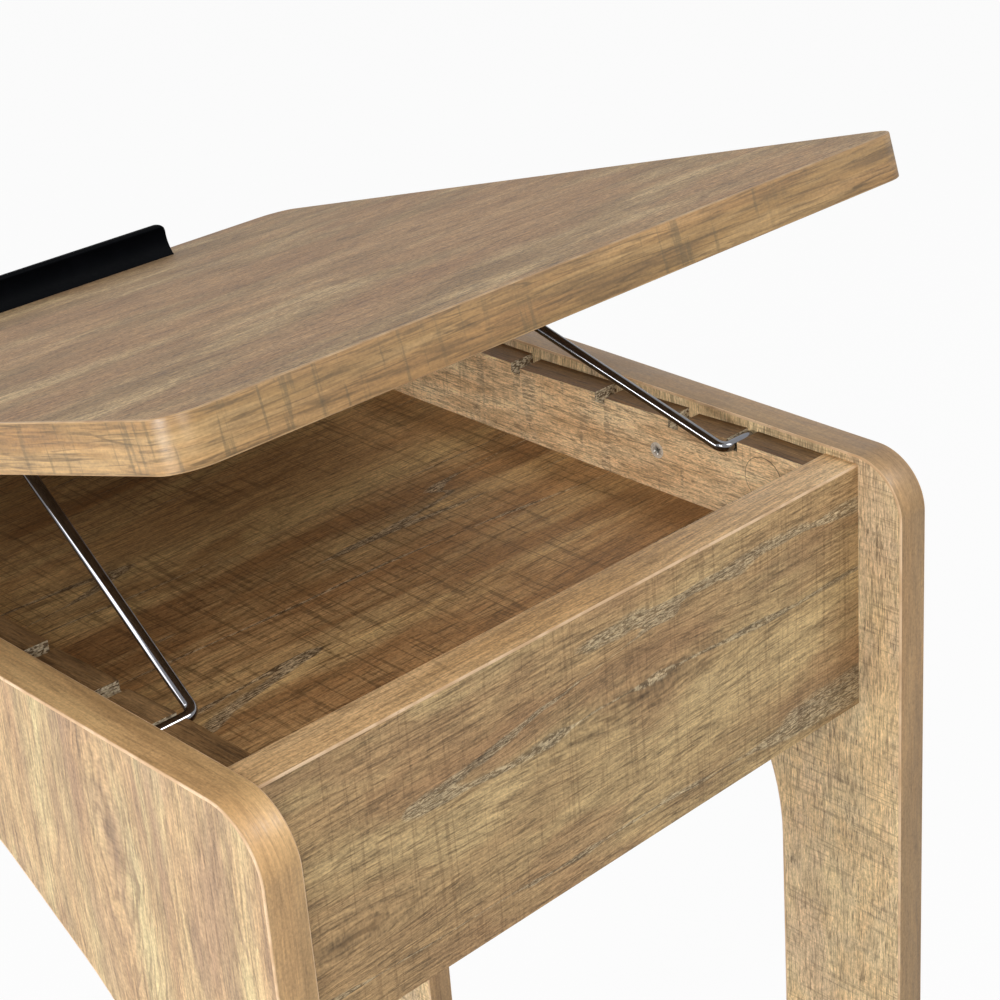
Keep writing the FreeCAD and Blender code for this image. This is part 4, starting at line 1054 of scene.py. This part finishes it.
def fittingOnPoints(geometry, fitting, finish):
    tree = geometry.tree
    shape = pick(tree, "GeometryNodeObjectInfo", {"Object": fitting}, "Geometry")
    turn = pick(tree, "GeometryNodeInputNamedAttribute", {"Name": "turn"}, data_type="FLOAT_VECTOR")
    spread = {"Points": geometry, "Instance": shape, "Rotation": turn}
    return finishShape(pick(tree, "GeometryNodeInstanceOnPoints", spread), finish)


fittingTree = newGroup(fittingOnPoints, "GeometryNodeTree")


def seats(node, facing):  # where each solid of a node meets the surface it is seen on, and the way it faces
    found = []
    for points in islands(node):
        normal = facing(sum(points, Vector()) / len(points))
        side = normal.orthogonal().normalized()
        at = normal * max(point.dot(normal) for point in points)
        for axis in (side, normal.cross(side)):
            span = [point.dot(axis) for point in points]
            at += axis * (min(span) + max(span)) / 2
        found.append((at, normal))
    return found


def setOut(name, node, facing, template, material, body, slot, twist):
    places = seats(node, facing)
    turns = []
    for index, (at, normal) in enumerate(places):
        spin = Matrix.Rotation(twist * (1 + 2.3 * index), 3, "Z")
        turns += (normal.to_track_quat("Z", "Y").to_matrix() @ spin).to_euler()
    mesh = pointMesh(name + "Points", [at for at, normal in places], [], "turn", "FLOAT_VECTOR", turns)
    holder = newObject(name + "Template", template)
    result = runTree(name, mesh, fittingTree, {"fitting": holder, "finish": material})
    bpy.data.objects.remove(holder)
    newPiece(name, result, [material], body, slot, node)


recessWalls = {  # how wide the flared walls of a driver recess are
    "side": 0.35,  # share of its width
    "end": 0.22,  # share of its length
    "corner": 0.5,  # share of its width, round the middle
    "cornerReach": 1.25,
}


def crossDepth(x, y, length, width, depth):
    across, along = sorted((abs(x), abs(y)))
    side = (width / 2 - across) / (width * recessWalls["side"])
    end = (length / 2 - along) / (length * recessWalls["end"])
    corner = (width * recessWalls["cornerReach"] - math.hypot(x, y)) / (width * recessWalls["corner"])
    return -depth * max(0.0, min(1.0, max(min(side, end), corner)))


darkness = {  # painted shade on the metal of a fitting, 0 to 1
    "middle": 0.5,  # painted shade in the middle of the head, fading out towards its edge
    "spread": 0.85,  # how much of the head that covers
    "side": 0.9,  # painted shade beside the head and below
    "sideDrop": 0.04 * mm,
}


def turnedFitting(name, values):
    # a revolved profile; the rings inside its first point carry the driver recess
    profile = [(radius * mm, level * mm) for radius, level in values["outline"]]
    recess = [size * mm for size in values["recess"]]
    faceRadius, faceLevel = profile[0]
    deepest = -min(crossDepth(0, 0, *recess), -0.1 * mm)
    grown = bmesh.new()
    sunk = grown.verts.layers.float.new("sunk")
    count = values["rings"]
    circles = []
    for ring in range(1, count + 1):
        radius = faceRadius * ring / count
        # painted shade: darker in the driver recess and towards the middle of the head
        middle = darkness["middle"] * max(0.0, 1 - (radius / (faceRadius * darkness["spread"])) ** 4)
        circles.append([])
        for x, y in roundWay(radius, values["parts"]):
            drop = crossDepth(x, y, *recess)
            vertex = grown.verts.new((x, y, faceLevel + drop))
            vertex[sunk] = max(-drop / deepest, middle)
            circles[-1].append(vertex)
    for radius, level in profile[1:]:
        circles.append([grown.verts.new((x, y, level)) for x, y in roundWay(radius, values["parts"])])
        for vertex in circles[-1]:
            vertex[sunk] = darkness["side"] if level < faceLevel - darkness["sideDrop"] else 0.0
    centre = grown.verts.new((0, 0, faceLevel + crossDepth(0, 0, *recess)))
    centre[sunk] = 1.0
    last = grown.verts.new((0, 0, profile[-1][1]))
    for part in range(values["parts"]):
        grown.faces.new((centre, circles[0][part - 1], circles[0][part]))
        grown.faces.new((last, circles[-1][part], circles[-1][part - 1]))
    ringed(grown, circles)
    bmesh.ops.recalc_face_normals(grown, faces=grown.faces)
    return toMesh(grown, name + "Shape", sharpAngle=40)


def threaded(radius, top, bottom, pitch, depth):
    points = []
    level = top
    while level - pitch > bottom:
        points += [(radius, level), (radius - depth, level - pitch * 0.55)]
        level -= pitch
    return points + [(radius * 0.8, bottom + radius), (0.2, bottom)]


def panHead(radius, deep, shank):  # a domed head
    flat = 0.62
    points = [(radius * flat, 0.0)]
    for index in range(1, 6):
        turn = math.pi / 2 * index / 5
        points.append((radius * (flat + (1 - flat) * math.sin(turn)), -deep * (1 - math.cos(turn)) * 0.85))
    return points + [(radius * 0.98, -deep), (shank, -deep)]


# in millimetres: outline from the middle of the face outwards and down (radius, height); thread as radius,
# top, end, pitch and depth; recess as length, width and depth; rings and parts are how finely it is cut
fittingShapes = {
    "railScrew": {
        "outline": [(3.15, -0.05), (3.45, -0.02), (3.6, -0.12), (1.7, -2.2)]
        + threaded(1.7, -2.6, -23, 1.6, 0.35),
        "rings": 16, "parts": 56, "recess": (4.2, 0.95, 1.1),
    },
    "hingeScrew": {
        "outline": [(2.5, -0.04), (2.78, -0.02), (2.9, -0.1), (1.5, -1.2)]
        + threaded(1.5, -1.6, -12.7, 1.3, 0.3),
        "rings": 14, "parts": 48, "recess": (3.4, 0.8, 0.8),
    },
    "clipScrew": {
        "outline": panHead(2.9, 1.9, 1.5) + threaded(1.5, -2.3, -14.6, 1.3, 0.3),
        "rings": 12, "parts": 48, "recess": (3.0, 0.8, 0.9),
    },
    "ledgeScrew": {
        "outline": panHead(3.2, 1.9, 1.6) + threaded(1.6, -2.3, -21.6, 1.3, 0.3),
        "rings": 12, "parts": 48, "recess": (3.2, 0.85, 0.9),
    },
    "camLock": {
        "outline": [(6.3, -0.3), (6.6, 0.0), (7.3, 0.0), (7.5, -0.25), (7.5, -9.3), (7.2, -9.5),
                    (1.0, -9.5)],
        "rings": 18, "parts": 56, "recess": (7.2, 1.4, 1.6),
    },
}

camCover = {
    "radius": 9.7 * mm,
    "thick": 0.2 * mm,
    "parts": 72,
    # share of the radius, share of the thickness, whether it belongs to the edge that carries painted shade
    "outline": [(0.5, 0, 0), (0.955, 0, 0), (0.975, 0, 1), (0.995, -0.15, 1), (1.0, -0.5, 1), (1.0, -1, 1)],
}


def cutCover(values):  # a disc of film; rim marks its edge, where painted shade goes
    grown = bmesh.new()
    rim = grown.verts.layers.float.new("rim")
    circles = []
    for reach, drop, edge in values["outline"]:
        points = roundWay(values["radius"] * reach, values["parts"])
        circles.append([grown.verts.new((x, y, values["thick"] * drop)) for x, y in points])
        for vertex in circles[-1]:
            vertex[rim] = edge
    grown.faces.new(circles[0])
    grown.faces.new(reversed(circles[-1]))
    ringed(grown, circles)
    bmesh.ops.recalc_face_normals(grown, faces=grown.faces)
    return toMesh(grown, "stickerShape", sharpAngle=40)


railCam = {"across": 138 * mm, "within": 4 * mm, "above": 550 * mm}  # where the cams of the rails are


def towardsMiddle(at):
    return Vector((1, 0, 0)) if at.x < 0 else Vector((-1, 0, 0))


def camFacing(at):  # cams of the rails face the room between them, the others the compartment
    if abs(abs(at.x) - railCam["across"]) < railCam["within"] and at.z > railCam["above"]:
        return towardsMiddle(at)
    return Vector((0, 1, 0)) if at.y < 0 else Vector((0, -1, 0))


def upwards(at):
    return Vector((0, 0, 1))


def underLid(at):
    return -lidUp


fittings = {  # CAD node: piece, the way its head faces, shape, material, body, slot
    "rail_screws": ("railScrews", towardsMiddle, "railScrew", brightNickel, "frame", "nickel"),
    "hinge_fixed_screws": ("hingeFixedScrews", upwards, "hingeScrew", brightNickel, "frame", "nickel"),
    "hinge_moving_screws": ("hingeMovingScrews", underLid, "hingeScrew", brightNickel, "lid", "nickel"),
    "wire_clip_screws": ("wireClipScrews", underLid, "clipScrew", brightNickel, "lid", "nickel"),
    "ledge_screws": ("ledgeScrews", underLid, "ledgeScrew", brightNickel, "lid", "nickel"),
    "cam_locks": ("camLocks", camFacing, "camLock", zincCast, "frame", "zinc"),
    "cam_cover_stickers": ("camCovers", towardsMiddle, "camCover", printedFilm, "frame", "cover_film"),
}
screwTwist = 0.35  # radians; no two heads stop at the same angle
shapes = {name: turnedFitting(name, values) for name, values in fittingShapes.items()}
shapes["camCover"] = cutCover(camCover)
for node, (name, facing, shape, material, body, slot) in fittings.items():
    twist = 0.0 if shape == "camCover" else screwTwist
    setOut(name, node, facing, shapes[shape], material, body, slot, twist)
print("fittings set out")


# floor and light

studio = {
    "world": 0.40,
    "floorSize": 14.0,
    "floorColour": 0.75,
    "floorWhite": 0.94,
    "aim": (0.0, 0.0, 0.55),
    "distance": 2.4,
    # degrees round from the front to the left, degrees up, width and height in metres, watts
    "lamps": {
        "leftLamp": (88, 13, 0.5, 1.9, 12.0),
        "cornerLamp": (87, -7.5, 2.0, 0.42, 8.0),
        "wireLamp": (133, 18, 0.42, 1.8, 13.0),
        "lowLamp": (86, 11, 1.0, 0.35, 16.0),
        "frontLamp": (35, 28, 0.7, 0.7, 16.5),
        "shoulderLamp": (-38, 42, 0.6, 0.6, 18.0),
    },
}


def addWorld(values):
    world = bpy.data.worlds.new("studio")
    world.use_nodes = True
    bpy.context.scene.world = world
    tree = world.node_tree
    tree.nodes.clear()
    path = add(tree, "ShaderNodeLightPath").outputs
    direct = Value(tree, path["Is Camera Ray"])
    mirrored = Value(tree, path["Is Glossy Ray"])
    seen = larger(larger(direct, mirrored), Value(tree, path["Is Transmission Ray"]))
    strength = join("MULTIPLY_ADD", seen, 1 - values["world"], values["world"])
    glow = pick(tree, "ShaderNodeBackground", {"Color": (1, 1, 1, 1), "Strength": strength})
    add(tree, "ShaderNodeOutputWorld", {0: glow})


def addLamps(values):
    aim = Vector(values["aim"])
    for name, (around, above, wide, tall, power) in values["lamps"].items():
        around, above = math.radians(around), math.radians(above)
        level = math.cos(above)
        towards = Vector((-math.sin(around) * level, -math.cos(around) * level, math.sin(above)))
        data = bpy.data.lights.new(name, "AREA")
        data.shape = "RECTANGLE"
        data.size, data.size_y = wide, tall
        data.energy = power
        lamp = newObject(name, data)
        lamp.location = aim + towards * values["distance"]
        lamp.rotation_euler = towards.to_track_quat("Z", "Y").to_euler()


def addFloor(values):
    half = values["floorSize"] / 2
    mesh = bpy.data.meshes.new("floor")
    corners = [(-half, -half, 0), (half, -half, 0), (half, half, 0), (-half, half, 0)]
    mesh.from_pydata(corners, [], [(0, 1, 2, 3)])
    material, tree, shader = newMaterial("floorWhite")
    colour = (values["floorColour"],) * 3 + (1,)
    feed(shader, {"Base Color": colour, "Roughness": 0.9, "Specular IOR Level": 0.1})
    seen = pick(tree, "ShaderNodeLightPath", None, "Is Camera Ray")
    glow = pick(tree, "ShaderNodeEmission", {"Color": (1, 1, 1, 1), "Strength": 1.0})
    inputs = {0: seen * values["floorWhite"], 1: Value(tree, shader.outputs[0]), 2: glow}
    output = next(node for node in tree.nodes if node.type == "OUTPUT_MATERIAL")
    feed(output, {0: pick(tree, "ShaderNodeMixShader", inputs)})
    mesh.materials.append(material)
    newObject("floor", mesh)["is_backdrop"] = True


bpy.context.scene.view_settings.view_transform = "Standard"
addWorld(studio)
addLamps(studio)
addFloor(studio)
print("studio lit")

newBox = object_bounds()
boxes = {"cad": cadBox, "visual": newBox}
